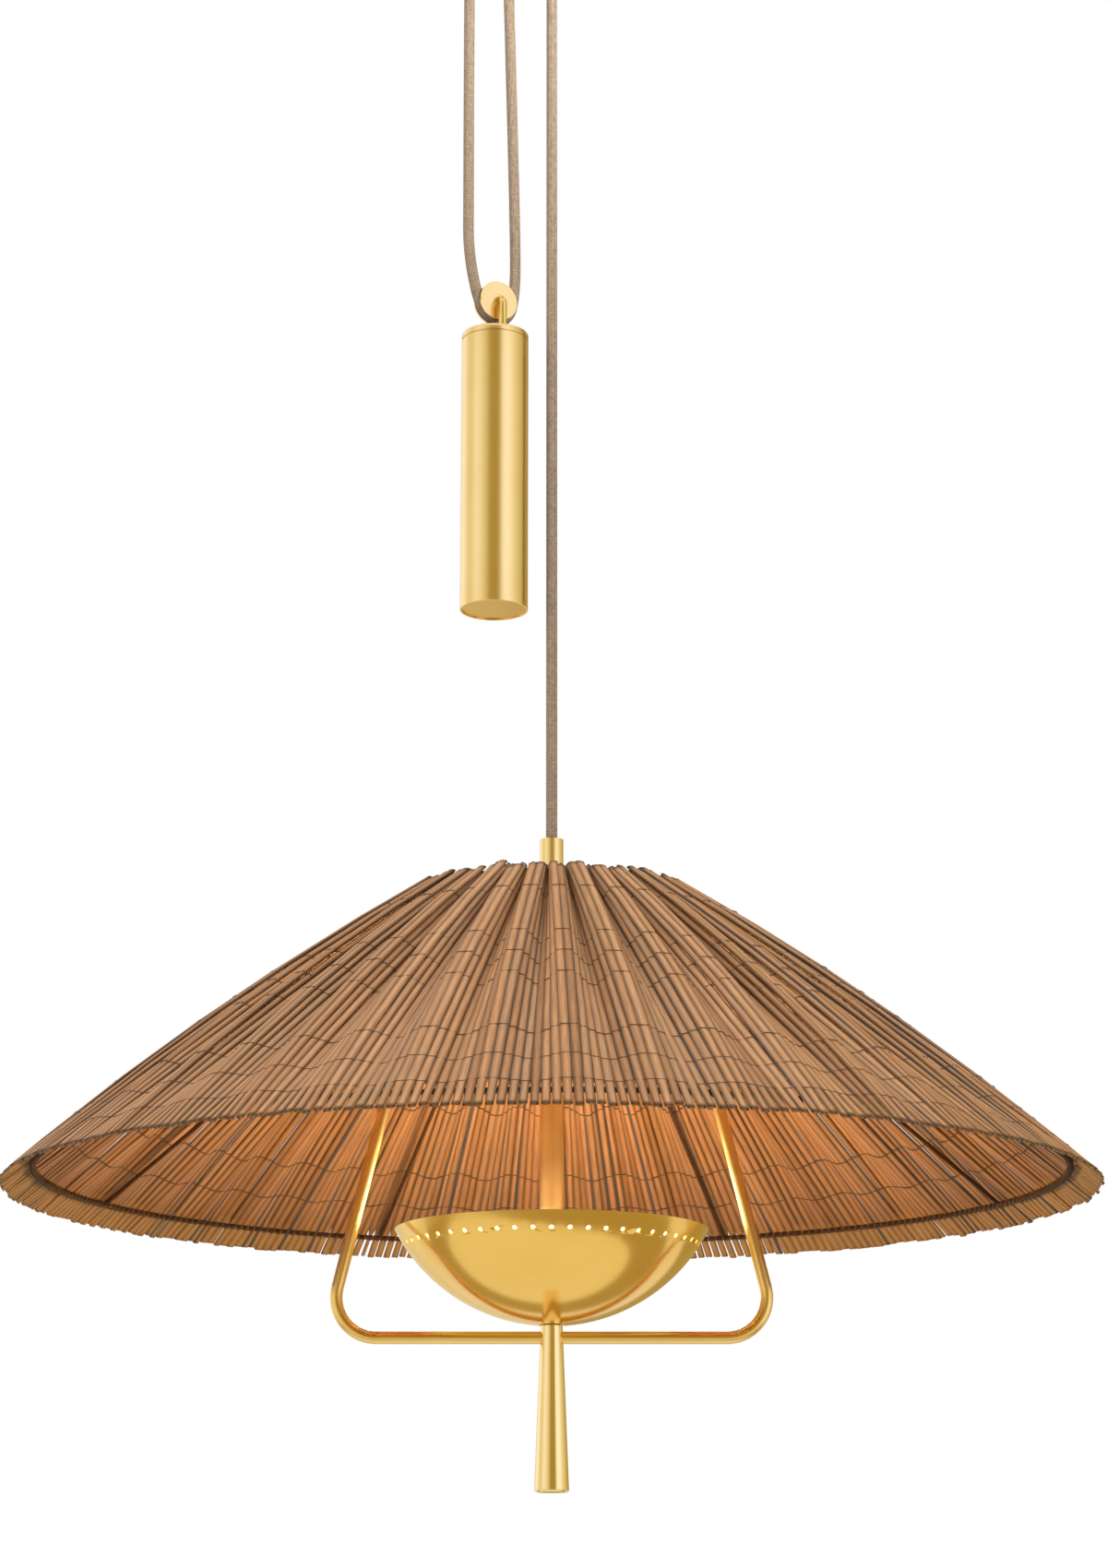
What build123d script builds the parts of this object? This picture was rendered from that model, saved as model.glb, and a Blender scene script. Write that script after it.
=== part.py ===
from build123d import *
import math
import os

# Rise-and-fall pendant light. A shade of gathered wooden slats and a pierced brass bowl hang on
# one fabric-covered cord. The cord runs up over a wheel in the ceiling canopy, down round the
# wheel of a brass counterweight and back up to a fixed gland.
# Millimetres, +Z up, origin at the centre of the face that meets the ceiling.

# Fits
RUNNING_GAP = 0.05      # shaft in a bush, radial
SEAT_GAP = 0.05         # pieces that are bolted or pressed together
LAY_GAP = 0.3           # wire frame to slats, cord to what guides it

# Cord and the places of its three strands
CORD_R = 4.1
CORD_SPREAD = 63.4      # lamp strand to anchored strand
ANCHOR_Y = -10.7        # the anchored strand hangs in front of the lamp strand
GROOVE_GAP = 0.5        # cord to the wall of a wheel's groove
BUSH_GAP = 1.0          # cord to a canopy bush

# Ceiling plate and canopy
PLATE_GAP = 4.3         # plate's edge to the canopy's wall
PLATE_T = 2.5
BOX_SCREW_SPACING = 88.9
BOX_SLOT_LENGTH = 12.0
BOX_SLOT_W = 5.0
WIRE_HOLE_R = 9.0
WIRE_HOLE_X = -8.0
WIRE_HOLE_Y = -24.0
CANOPY_R = 63.5
CANOPY_DEPTH = 54.0
CANOPY_WALL = 1.2
CANOPY_BEVEL = 10.0
STUD_R = 2.5
STUD_CIRCLE_R = 46.0
STUD_ANGLE = 45.0
STUD_TAIL = 6.0         # stud below the canopy
NUT_R = 6.0
NUT_H = 9.0
BUSH_NECK_R = 6.8
BUSH_FLANGE_R = 8.6
BUSH_FLANGE_T = 2.0
BUSH_NECK_H = 4.0

# Ceiling wheel and its bracket
TOP_PITCH_R = 17.1      # wheel axis to cord centre
TOP_FLANGE_R = 18.6
TOP_WHEEL_W = 12.6
TOP_WHEEL_DROP = 30.0   # ceiling to wheel axis
TOP_AXLE_R = 3.0
TOP_BUSH_WALL = 2.0
CHEEK_GAP = 0.5
CHEEK_T = 2.0
BRACKET_W = 20.0
BRACKET_WEB_T = 2.5
RIVET_R = 2.0
RIVET_SPACING = 12.0
RIVET_HEAD_R = 3.4
RIVET_HEAD_T = 1.0
AXLE_HEAD_R = 4.8
AXLE_HEAD_T = 1.8
AXLE_RING_R = 5.2
AXLE_RING_T = 1.2
AXLE_TAIL = 1.5

# Fixed end of the cord
BLOCK_L = 24.0
BLOCK_W = 16.0
BLOCK_H = 13.0
BLOCK_HOLE_R = 1.7
BLOCK_HOLE_DEPTH = 8.0
BLOCK_HOLE_SPACING = 7.0
GLAND_R = 9.5
GLAND_TIP_R = 6.4
GLAND_H = 13.0
GLAND_FLANGE_H = 4.0
GLAND_THREAD_R = 7.0
GLAND_THREAD_H = 9.0
GLAND_NUT_AF = 19.0
GLAND_NUT_H = 4.5

# Counterweight
WEIGHT_OFFSET = 42.5    # lamp strand to the weight's axis
WHEEL_DROP = 349.5      # ceiling to the weight's wheel axis
WHEEL_YAW = 27.9        # the wheel's face is turned to one side
PITCH_R = 13.9
FLANGE_R = 15.2
WHEEL_W = 12.4
AXLE_R = 3.0
BUSH_WALL = 2.0
WEIGHT_R = 25.0
WEIGHT_WALL = 1.5
WEIGHT_CAP_DROP = 26.0  # wheel axis to the cap's top
WEIGHT_H = 217.0
CAP_H = 5.0
CAP_BEVEL = 1.4
CAP_SPIGOT_H = 8.0
BASE_T = 6.0
BASE_RECESS = 1.0
CORE_HEADROOM = 12.0    # space for the nut between cap and core
BAIL_OUT = 12.6         # wheel's middle to the bail's leg
BAIL_BEND = 6.0
BAIL_TAIL = 8.0         # bail below the cap's spigot
BAIL_NUT_AF = 10.0
BAIL_NUT_H = 5.0
AXLE_CAP_R = 5.4
AXLE_CAP_H = 4.0
AXLE_CAP_DEPTH = 2.8
LOOP_RIGHT_OUT = 17.0   # cord beside the weight's wheel, in the wheel's plane
LOOP_RIGHT_UP = 14.0
LOOP_LEFT_OUT = 22.9
LOOP_LEFT_UP = 34.0
LOOP_RIGHT_BEND = 100.0
LOOP_LEFT_BEND = 120.0
RETURN_STRAIGHT = 28.0  # return strand below the ceiling wheel's axis, before it leans
RETURN_BEND = 300.0
LOOP_FLAT = 0.6         # straight bit of cord under the wheel

# Shade, on the lamp's axis, heights from the plane of the slats' lower ends
RIM_DROP = 1022.0       # ceiling to that plane
RIM_R = 381.0
SHADE_TOP_R = 100.0
SLAT_TOP = 215.0
SLAT_W = 4.7
SLAT_T = 1.2
PLEATS = 45
PLEAT_SLATS = 8         # two each of ridge, outer fold, inner fold and valley
FOLD_DEPTH = 4.8        # from one layer of the gather to the next
SLAT_GAP = 0.2          # between the two slats of a ridge or valley at the top
OUTER_FOLD_OUT = 3.1    # fold slats at the top, from the middle of the ridge
INNER_FOLD_OUT = 3.6
RING_DOWN = 14.0        # top ring below the slats' upper ends
RING_W = 8.0
RING_T = 2.5
HOOP_UP = 25.0          # hoop above the slats' lower ends
HOOP_W = 5.0
HOOP_T = 3.0
RIBS = 8
RIB_R = 1.5
RIB_END_GAP = 0.15      # rib's end to the ring or hoop that it is brazed to

# Stem and spider
STEM_R = 8.3
STEM_WALL = 1.1
COLLAR_LOW = 232.5
COLLAR_TOP = 255.5
COLLAR_R = 8.4
COLLAR_LIP = 4.0
COLLAR_WALL = 1.4
COLLAR_SPIGOT_H = 10.0
CORD_TUCK = 14.0        # cord inside the collar
GRIP_H = 9.0
HUB_R = 14.0
HUB_H = 12.0
HUB_SCREW_R = 2.0
HUB_SCREW_HEAD_R = 3.2
HUB_SCREW_HEAD_H = 2.2
HUB_SCREW_TURN = 45.0   # screws midway between the bars
BARS = 4
BAR_W = 12.0
BAR_T = 3.0

# Stirrup, handle and bowl
ARM_R = 4.3
ARM_WALL = 0.9
ARM_TOP_IN = 14.0       # arm's axis at the underside of the spider, in from the slats' upper ends
ARM_FOOT_X = 157.0      # where the arm's axis would meet the crossbar's
ARM_BEND = 28.0
CROSSBAR_Z = -99.2
CROSSBAR_SEAT = 2.0     # crossbar end inside the handle
FERRULE_R = 6.2
FERRULE_H = 14.0
FERRULE_CROWN = 4.0
ARM_SCREW_R = 2.0
ARM_SCREW_HEAD_R = 3.8
ARM_SCREW_HEAD_H = 2.4
BOWL_RIM_R = 109.3
BOWL_RIM_Z = -25.0
BOWL_LOW_Z = -90.7
BOWL_WALL = 1.0
BOWL_HOLES = 52
BOWL_HOLE_R = 1.7
BOWL_HOLE_DOWN = 11.0   # holes below the rim
STUD_BOLT_R = 4.0
WASHER_R = 14.0
WASHER_T = 2.0
PLUG_H = 20.0
HANDLE_TOP_R = 7.6
HANDLE_LOW_R = 12.0
HANDLE_LOW_Z = -203.7
HANDLE_EDGE = 1.2
HANDLE_TAP = 26.0       # depth of the stud's hole

# Lampholders
HOLDER_PLATE_R = 36.0
HOLDER_PLATE_T = 2.0
HOLDER_COLLAR_R = 12.0
HOLDER_COLLAR_H = 6.5
HOLDERS = 3
HOLDER_CIRCLE_R = 23.0
HOLDER_R = 8.5
HOLDER_H = 18.0
BULB_R = 7.2
BULB_H = 36.0
BULB_SEAT = 6.0

# Worked out from the sizes above
LAMP_X = CORD_SPREAD / 2
ANCHOR_X = -CORD_SPREAD / 2
TOP_WHEEL_X = LAMP_X - TOP_PITCH_R
RETURN_X = LAMP_X - 2 * TOP_PITCH_R
WEIGHT_X = LAMP_X - WEIGHT_OFFSET
LAMP_AT = Pos(LAMP_X, 0, -RIM_DROP)
WEIGHT_AT = Pos(WEIGHT_X, 0, -WHEEL_DROP) * Rot(0, 0, WHEEL_YAW)
TOP_WHEEL_AT = Pos(TOP_WHEEL_X, 0, -TOP_WHEEL_DROP)

nodes = {}


def rod(radius, low, high):
    """Round bar on the Z axis."""
    return Pos(0, 0, low) * Cylinder(radius, high - low, align=(Align.CENTER, Align.CENTER, Align.MIN))


def tube(outer, inner, low, high):
    """Round tube on the Z axis."""
    return rod(outer, low, high) - rod(inner, low, high)


def turned(points):
    """Solid turned about the Z axis from a closed outline of (radius, height) points."""
    return revolve(Plane.XZ * make_face(Polyline(*points, close=True)), Axis.Z)


def hex_nut(across_flats, hole_r, low, high):
    """Hexagon nut on the Z axis."""
    outline = RegularPolygon(across_flats / 2, 6, major_radius=False) - Circle(hole_r)
    return Pos(0, 0, low) * extrude(outline, high - low)


def group(solids):
    """Several separate solids as one node."""
    return Compound(children=list(solids))


def around_y(shape):
    """Turn a shape made on the Z axis so that its axis lies along Y."""
    return Rot(90, 0, 0) * shape


def cord_along(path):
    """Round cord swept along a path."""
    return sweep(Plane(origin=path @ 0, z_dir=path % 0) * Circle(CORD_R), path=path)


def grooved_wheel(flange_r, width, pitch_r, bore_r):
    """Wheel on the Y axis whose groove takes the cord."""
    blank = tube(flange_r, bore_r, -width / 2, width / 2)
    return around_y(blank - Torus(pitch_r, CORD_R + GROOVE_GAP))


# Ceiling plate: a steel disc with slots for the ceiling box's screws
stud_spots = [Pos(STUD_CIRCLE_R, 0, 0), Pos(-STUD_CIRCLE_R, 0, 0)]
stud_spots = [Rot(0, 0, STUD_ANGLE) * spot for spot in stud_spots]
rivet_spots = [Pos(TOP_WHEEL_X + side * RIVET_SPACING / 2, 0, 0) for side in (-1, 1)]
box_slot = Rot(0, 0, 90) * SlotOverall(BOX_SLOT_LENGTH, BOX_SLOT_W)
plate = Circle(CANOPY_R - CANOPY_WALL - PLATE_GAP) - Pos(WIRE_HOLE_X, WIRE_HOLE_Y) * Circle(WIRE_HOLE_R)
for side in (-1, 1):
    plate -= Pos(0, side * BOX_SCREW_SPACING / 2) * box_slot
for spot in stud_spots:
    plate -= spot * Circle(STUD_R + SEAT_GAP)
for spot in rivet_spots:
    plate -= spot * Circle(RIVET_R + SEAT_GAP)
nodes["mounting_plate"] = extrude(plate, -PLATE_T)

# Canopy: a spun brass cup, open to the ceiling, on two studs with ball nuts
canopy_low = -CANOPY_DEPTH
inner_bevel = CANOPY_BEVEL - CANOPY_WALL * (2 - math.sqrt(2))
canopy = turned([
    (0, canopy_low),
    (CANOPY_R - CANOPY_BEVEL, canopy_low),
    (CANOPY_R, canopy_low + CANOPY_BEVEL),
    (CANOPY_R, 0),
    (CANOPY_R - CANOPY_WALL, 0),
    (CANOPY_R - CANOPY_WALL, canopy_low + CANOPY_WALL + inner_bevel),
    (CANOPY_R - CANOPY_WALL - inner_bevel, canopy_low + CANOPY_WALL),
    (0, canopy_low + CANOPY_WALL),
])
bush_spots = [Pos(LAMP_X, 0, 0), Pos(RETURN_X, 0, 0)]
gland_spot = Pos(ANCHOR_X, ANCHOR_Y, 0)
for spot in bush_spots:
    canopy -= spot * rod(BUSH_NECK_R + SEAT_GAP, canopy_low, canopy_low + CANOPY_WALL)
for spot in stud_spots:
    canopy -= spot * rod(STUD_R + SEAT_GAP, canopy_low, canopy_low + CANOPY_WALL)
canopy -= gland_spot * rod(GLAND_THREAD_R + SEAT_GAP, canopy_low, canopy_low + CANOPY_WALL)
nodes["canopy_cup"] = canopy
stud = rod(STUD_R, canopy_low - STUD_TAIL, 0)
nodes["canopy_studs"] = group(spot * stud for spot in stud_spots)
nut_low = canopy_low - NUT_H
ball_nut = turned([
    (0, nut_low),
    (NUT_R * 0.6, nut_low),
    (NUT_R, nut_low + NUT_H * 0.3),
    (NUT_R, nut_low + NUT_H * 0.6),
    (NUT_R * 0.7, canopy_low - SEAT_GAP),
    (0, canopy_low - SEAT_GAP),
])
ball_nut -= rod(STUD_R + SEAT_GAP, canopy_low - STUD_TAIL - SEAT_GAP, canopy_low)
nodes["canopy_nuts"] = group(spot * ball_nut for spot in stud_spots)
cord_bush = tube(BUSH_FLANGE_R, CORD_R + BUSH_GAP, canopy_low - BUSH_FLANGE_T, canopy_low)
cord_bush += tube(BUSH_NECK_R, CORD_R + BUSH_GAP, canopy_low, canopy_low + BUSH_NECK_H)
nodes["cord_bushes"] = group(spot * cord_bush for spot in bush_spots)

# Wheel bracket: a folded steel strap riveted under the plate
cheek_in = TOP_WHEEL_W / 2 + CHEEK_GAP
web_low = -PLATE_T - BRACKET_WEB_T
cheek_outline = Rectangle(BRACKET_W, TOP_WHEEL_DROP - PLATE_T, align=(Align.CENTER, Align.MIN))
cheek_outline += Circle(BRACKET_W / 2)
cheek_outline -= Circle(TOP_AXLE_R + SEAT_GAP)
cheek = TOP_WHEEL_AT * Pos(0, -cheek_in, 0) * extrude(Plane.XZ * cheek_outline, CHEEK_T)
far_cheek = mirror(cheek, about=Plane.XZ)
web_sketch = Pos(TOP_WHEEL_X, 0) * Rectangle(BRACKET_W, 2 * cheek_in)
for spot in rivet_spots:
    web_sketch -= spot * Circle(RIVET_R + SEAT_GAP)
web = Pos(0, 0, -PLATE_T) * extrude(web_sketch, -BRACKET_WEB_T)
nodes["pulley_bracket"] = cheek + far_cheek + web
rivet = rod(RIVET_R, web_low, 0) + rod(RIVET_HEAD_R, web_low - RIVET_HEAD_T, web_low)
nodes["bracket_rivets"] = group(spot * rivet for spot in rivet_spots)

# Ceiling wheel: brass, grooved for the cord, turning on a headed pin
cheek_out = cheek_in + CHEEK_T
top_bush_r = TOP_AXLE_R + RUNNING_GAP + TOP_BUSH_WALL
axle_tail = cheek_out + SEAT_GAP + AXLE_RING_T + AXLE_TAIL
axle_pin = rod(TOP_AXLE_R, -axle_tail, cheek_out) + rod(AXLE_HEAD_R, cheek_out, cheek_out + AXLE_HEAD_T)
ring_seat = -cheek_out - SEAT_GAP
axle_ring = tube(AXLE_RING_R, TOP_AXLE_R + SEAT_GAP, ring_seat - AXLE_RING_T, ring_seat)
top_bush = tube(top_bush_r, TOP_AXLE_R + RUNNING_GAP, -TOP_WHEEL_W / 2, TOP_WHEEL_W / 2)
top_wheel = grooved_wheel(TOP_FLANGE_R, TOP_WHEEL_W, TOP_PITCH_R, top_bush_r + SEAT_GAP)
nodes["pulley_axle"] = TOP_WHEEL_AT * around_y(axle_pin)
nodes["axle_ring"] = TOP_WHEEL_AT * around_y(axle_ring)
nodes["top_wheel_bush"] = TOP_WHEEL_AT * around_y(top_bush)
nodes["top_wheel"] = TOP_WHEEL_AT * top_wheel

# Terminal block and gland: the cord's fixed end
block_low = -PLATE_T - BLOCK_H
block = Pos(0, 0, block_low) * Box(BLOCK_L, BLOCK_W, BLOCK_H, align=(Align.CENTER, Align.CENTER, Align.MIN))
for slot in (-1, 0, 1):
    wire_hole = around_y(rod(BLOCK_HOLE_R, 0, BLOCK_HOLE_DEPTH))
    block -= Pos(slot * BLOCK_HOLE_SPACING, BLOCK_W / 2, block_low + BLOCK_H / 2) * wire_hole
nodes["terminal_block"] = gland_spot * block
gland_bore = CORD_R + LAY_GAP
gland = turned([
    (gland_bore, canopy_low - GLAND_H),
    (GLAND_TIP_R, canopy_low - GLAND_H),
    (GLAND_R, canopy_low - GLAND_FLANGE_H),
    (GLAND_R, canopy_low - SEAT_GAP),
    (GLAND_THREAD_R, canopy_low - SEAT_GAP),
    (GLAND_THREAD_R, canopy_low + GLAND_THREAD_H),
    (gland_bore, canopy_low + GLAND_THREAD_H),
])
gland_nut_low = canopy_low + CANOPY_WALL + SEAT_GAP
gland_nut = hex_nut(GLAND_NUT_AF, GLAND_THREAD_R + SEAT_GAP, gland_nut_low, gland_nut_low + GLAND_NUT_H)
nodes["anchor_gland"] = gland_spot * gland
nodes["gland_nut"] = gland_spot * gland_nut

# Counterweight: a brass tube with a screwed cap, filled with a steel core
cap_top = -WEIGHT_CAP_DROP
cap_seat = cap_top - CAP_H
weight_low = cap_top - WEIGHT_H
tube_bore = WEIGHT_R - WEIGHT_WALL
spigot_low = cap_seat - CAP_SPIGOT_H
base_low = weight_low + BASE_RECESS
cap = turned([
    (0, spigot_low),
    (tube_bore - SEAT_GAP, spigot_low),
    (tube_bore - SEAT_GAP, cap_seat),
    (WEIGHT_R, cap_seat),
    (WEIGHT_R, cap_top - CAP_BEVEL),
    (WEIGHT_R - CAP_BEVEL, cap_top),
    (0, cap_top),
])
bail_foot = Pos(0, -BAIL_OUT, 0)
cap -= bail_foot * rod(AXLE_R + SEAT_GAP, spigot_low, cap_top)
nodes["weight_cap"] = WEIGHT_AT * cap
nodes["weight_tube"] = WEIGHT_AT * tube(WEIGHT_R, tube_bore, weight_low, cap_seat - SEAT_GAP)
nodes["weight_base"] = WEIGHT_AT * rod(tube_bore - SEAT_GAP, base_low, base_low + BASE_T)
core_low = base_low + BASE_T + SEAT_GAP
nodes["weight_core"] = WEIGHT_AT * rod(tube_bore - LAY_GAP, core_low, spigot_low - CORE_HEADROOM)

# Bail: one bent brass rod, axle at the top and leg screwed into the cap
wheel_half = WHEEL_W / 2
axle_end = wheel_half + LAY_GAP + AXLE_CAP_DEPTH
bail_path = FilletPolyline(
    (0, axle_end, 0),
    (0, -BAIL_OUT, 0),
    (0, -BAIL_OUT, spigot_low - BAIL_TAIL),
    radius=BAIL_BEND,
)
bail = sweep(Plane(origin=bail_path @ 0, z_dir=bail_path % 0) * Circle(AXLE_R), path=bail_path)
bail_nut_top = spigot_low - SEAT_GAP
bail_nut = hex_nut(BAIL_NUT_AF, AXLE_R + SEAT_GAP, bail_nut_top - BAIL_NUT_H, bail_nut_top)
axle_cap = rod(AXLE_CAP_R, 0, AXLE_CAP_H) - rod(AXLE_R + SEAT_GAP, 0, AXLE_CAP_DEPTH)
nodes["weight_bail"] = WEIGHT_AT * bail
nodes["bail_nut"] = WEIGHT_AT * bail_foot * bail_nut
nodes["axle_cap"] = WEIGHT_AT * Pos(0, wheel_half + LAY_GAP, 0) * Rot(-90, 0, 0) * axle_cap

# Weight's wheel: brass with a bronze bush
bush_r = AXLE_R + RUNNING_GAP + BUSH_WALL
wheel_bush = tube(bush_r, AXLE_R + RUNNING_GAP, -wheel_half, wheel_half)
nodes["weight_wheel_bush"] = WEIGHT_AT * around_y(wheel_bush)
nodes["weight_wheel"] = WEIGHT_AT * grooved_wheel(FLANGE_R, WHEEL_W, PITCH_R, bush_r + SEAT_GAP)


# Cord: lamp strand, the arc over the ceiling wheel, and the strands and loop that carry the weight
def loop_point(out, up):
    """Point beside the weight's wheel, in the wheel's own plane."""
    across = Vector(out, 0, 0).rotate(Axis.Z, WHEEL_YAW)
    return Vector(WEIGHT_X, 0, up - WHEEL_DROP) + across


def loop_corner(out, up):
    """Distance out to where a strand that is tangent to the wheel meets the loop's lowest line."""
    flare = math.atan2(up, out) - math.acos(PITCH_R / math.hypot(out, up))
    return PITCH_R * math.tan((math.pi / 2 + flare) / 2)


cord_low = COLLAR_TOP - CORD_TUCK - RIM_DROP
nodes["lamp_cord"] = Pos(LAMP_X, 0, 0) * rod(CORD_R, cord_low, -TOP_WHEEL_DROP)
arc_top = (TOP_WHEEL_X, 0, TOP_PITCH_R - TOP_WHEEL_DROP)
arc_path = ThreePointArc((LAMP_X, 0, -TOP_WHEEL_DROP), arc_top, (RETURN_X, 0, -TOP_WHEEL_DROP))
nodes["wheel_cord"] = cord_along(arc_path)
right_corner = loop_corner(LOOP_RIGHT_OUT, LOOP_RIGHT_UP) + LOOP_FLAT / 2
left_corner = loop_corner(LOOP_LEFT_OUT, LOOP_LEFT_UP) + LOOP_FLAT / 2
weight_path = FilletPolyline(
    Vector(RETURN_X, 0, -TOP_WHEEL_DROP),
    Vector(RETURN_X, 0, -TOP_WHEEL_DROP - RETURN_STRAIGHT),
    loop_point(LOOP_RIGHT_OUT, LOOP_RIGHT_UP),
    loop_point(right_corner, -PITCH_R),
    loop_point(-left_corner, -PITCH_R),
    loop_point(-LOOP_LEFT_OUT, LOOP_LEFT_UP),
    Vector(ANCHOR_X, ANCHOR_Y, block_low - SEAT_GAP),
    radius=[RETURN_BEND, LOOP_RIGHT_BEND, PITCH_R, PITCH_R, LOOP_LEFT_BEND],
)
nodes["weight_cord"] = cord_along(weight_path)
section = math.pi * CORD_R ** 2
for name, length in (("wheel_cord", arc_path.length), ("weight_cord", weight_path.length)):
    print(name, "length", round(length, 1), "volume ratio", round(nodes[name].volume / (section * length), 4))
print("cord radii", TOP_PITCH_R, RETURN_BEND, LOOP_RIGHT_BEND, PITCH_R, PITCH_R, LOOP_LEFT_BEND)

# Slats: four layers of straight sticks, folded into pleats at the top and evenly spread at the rim
slope = Vector(RIM_R - SHADE_TOP_R, 0, -SLAT_TOP)
shade_normal = Vector(SLAT_TOP, 0, RIM_R - SHADE_TOP_R).normalized()
slat_angle = 360 / (PLEATS * PLEAT_SLATS)
half_pleat = 180 / PLEATS


def on_cone(radius, angle, height):
    """Point at a radius, an angle in degrees and a height."""
    turn = math.radians(angle)
    return Vector(radius * math.cos(turn), radius * math.sin(turn), height)


def layer_top(layer):
    """Radius and height of a layer's upper ends, at its outer face."""
    depth = layer * FOLD_DEPTH
    return SHADE_TOP_R - depth * shade_normal.X, SLAT_TOP - depth * shade_normal.Z


def slat(layer, top_out, side, pleat):
    """One slat; side is -1 or 1 about the middle of its ridge."""
    top_r, top_z = layer_top(layer)
    middle = 2 * half_pleat * pleat
    top = on_cone(top_r, middle + side * math.degrees(top_out / top_r), top_z)
    low = on_cone(RIM_R, middle + side * (layer + 0.5) * slat_angle, 0)
    along = (low - top).normalized()
    across = along.cross(Vector(0, 0, 1)).normalized()
    outward = across.cross(along)
    place = Plane(origin=(top + low) / 2, x_dir=across, z_dir=outward)
    stick = Box(SLAT_W, (low - top).length, SLAT_T, align=(Align.CENTER, Align.CENTER, Align.MAX))
    return LAMP_AT * place.location * stick


pair_out = (SLAT_W + SLAT_GAP) / 2
valley_out = math.radians(half_pleat) * layer_top(3)[0] - pair_out
slat_layers = (
    ("ridge_slats", pair_out),
    ("outer_fold_slats", OUTER_FOLD_OUT),
    ("inner_fold_slats", INNER_FOLD_OUT),
    ("valley_slats", valley_out),
)
for layer, (name, top_out) in enumerate(slat_layers):
    nodes[name] = group(slat(layer, top_out, side, p) for p in range(PLEATS) for side in (-1, 1))

# Wire frame inside the shade: top ring, hoop and ribs, all lying under the valley slats
valley_top = Vector(layer_top(3)[0], 0, layer_top(3)[1])
valley_run = valley_top - Vector(RIM_R, 0, 0)
valley_up = valley_run.normalized()
valley_in = Vector(valley_up.Z, 0, -valley_up.X) * -1


def under_valley(up, depth):
    """Point in the XZ plane, up from the slats' lower ends and inward from their outer face."""
    return Vector(RIM_R, 0, 0) + valley_up * up + valley_in * depth


def band(up, width, thickness):
    """Conical band that lies against the valley slats."""
    outer = SLAT_T + LAY_GAP
    corners = [
        under_valley(up - width / 2, outer),
        under_valley(up + width / 2, outer),
        under_valley(up + width / 2, outer + thickness),
        under_valley(up - width / 2, outer + thickness),
    ]
    return turned([(c.X, c.Z) for c in corners])


ring_up = valley_run.length - RING_DOWN
nodes["top_ring"] = LAMP_AT * band(ring_up, RING_W, RING_T)
nodes["bottom_hoop"] = LAMP_AT * band(HOOP_UP, HOOP_W, HOOP_T)
rib_depth = SLAT_T + LAY_GAP + RIB_R
rib_low = under_valley(HOOP_UP + HOOP_W / 2 + RIB_END_GAP, rib_depth)
rib_high = under_valley(ring_up - RING_W / 2 - RIB_END_GAP, rib_depth)
rib = Plane(origin=rib_low, z_dir=valley_up).location * rod(RIB_R, 0, (rib_high - rib_low).length)
rib_turns = [(k + 0.5) * 360 / RIBS for k in range(RIBS)]
nodes["shade_ribs"] = group(LAMP_AT * Rot(0, 0, turn) * rib for turn in rib_turns)

# Spider: hub on the stem and four flat bars out to the top ring
arm_top_x = SHADE_TOP_R - ARM_TOP_IN
ring_inside = under_valley(ring_up, SLAT_T + LAY_GAP + RING_T)
bar_z = ring_inside.Z
bar_low = bar_z - BAR_T / 2
ring_inner_r = ring_inside.X + valley_up.X / valley_up.Z * BAR_T / 2
bar_end = math.sqrt(ring_inner_r ** 2 - BAR_W ** 2 / 4) - SEAT_GAP
bar_length = bar_end - HUB_R - SEAT_GAP
bar = Pos(HUB_R + SEAT_GAP, 0, bar_low) * Box(
    bar_length, BAR_W, BAR_T, align=(Align.MIN, Align.CENTER, Align.MIN)
)
screwed_bar = bar - Pos(arm_top_x, 0, 0) * rod(ARM_SCREW_R + SEAT_GAP, bar_low, bar_low + BAR_T)
bars = [screwed_bar, Rot(0, 0, 90) * bar, Rot(0, 0, 180) * screwed_bar, Rot(0, 0, 270) * bar]
nodes["spider_bars"] = group(LAMP_AT * piece for piece in bars)
hub_low = bar_z - HUB_H / 2
hub = tube(HUB_R, STEM_R + SEAT_GAP, hub_low, hub_low + HUB_H)
hub_screw = rod(HUB_SCREW_R, STEM_R + SEAT_GAP, HUB_R)
hub_screw += rod(HUB_SCREW_HEAD_R, HUB_R, HUB_R + HUB_SCREW_HEAD_H)
hub_screw = Pos(0, 0, bar_z) * Rot(0, 90, 0) * hub_screw
hub_screw_turns = (HUB_SCREW_TURN, HUB_SCREW_TURN + 180)
hub_screws = [Rot(0, 0, turn) * hub_screw for turn in hub_screw_turns]
screw_hole = Pos(0, 0, bar_z) * Rot(0, 90, 0) * rod(HUB_SCREW_R + SEAT_GAP, 0, HUB_R)
for turn in hub_screw_turns:
    hub -= Rot(0, 0, turn) * screw_hole
nodes["spider_hub"] = LAMP_AT * hub
nodes["hub_screws"] = group(LAMP_AT * piece for piece in hub_screws)

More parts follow.
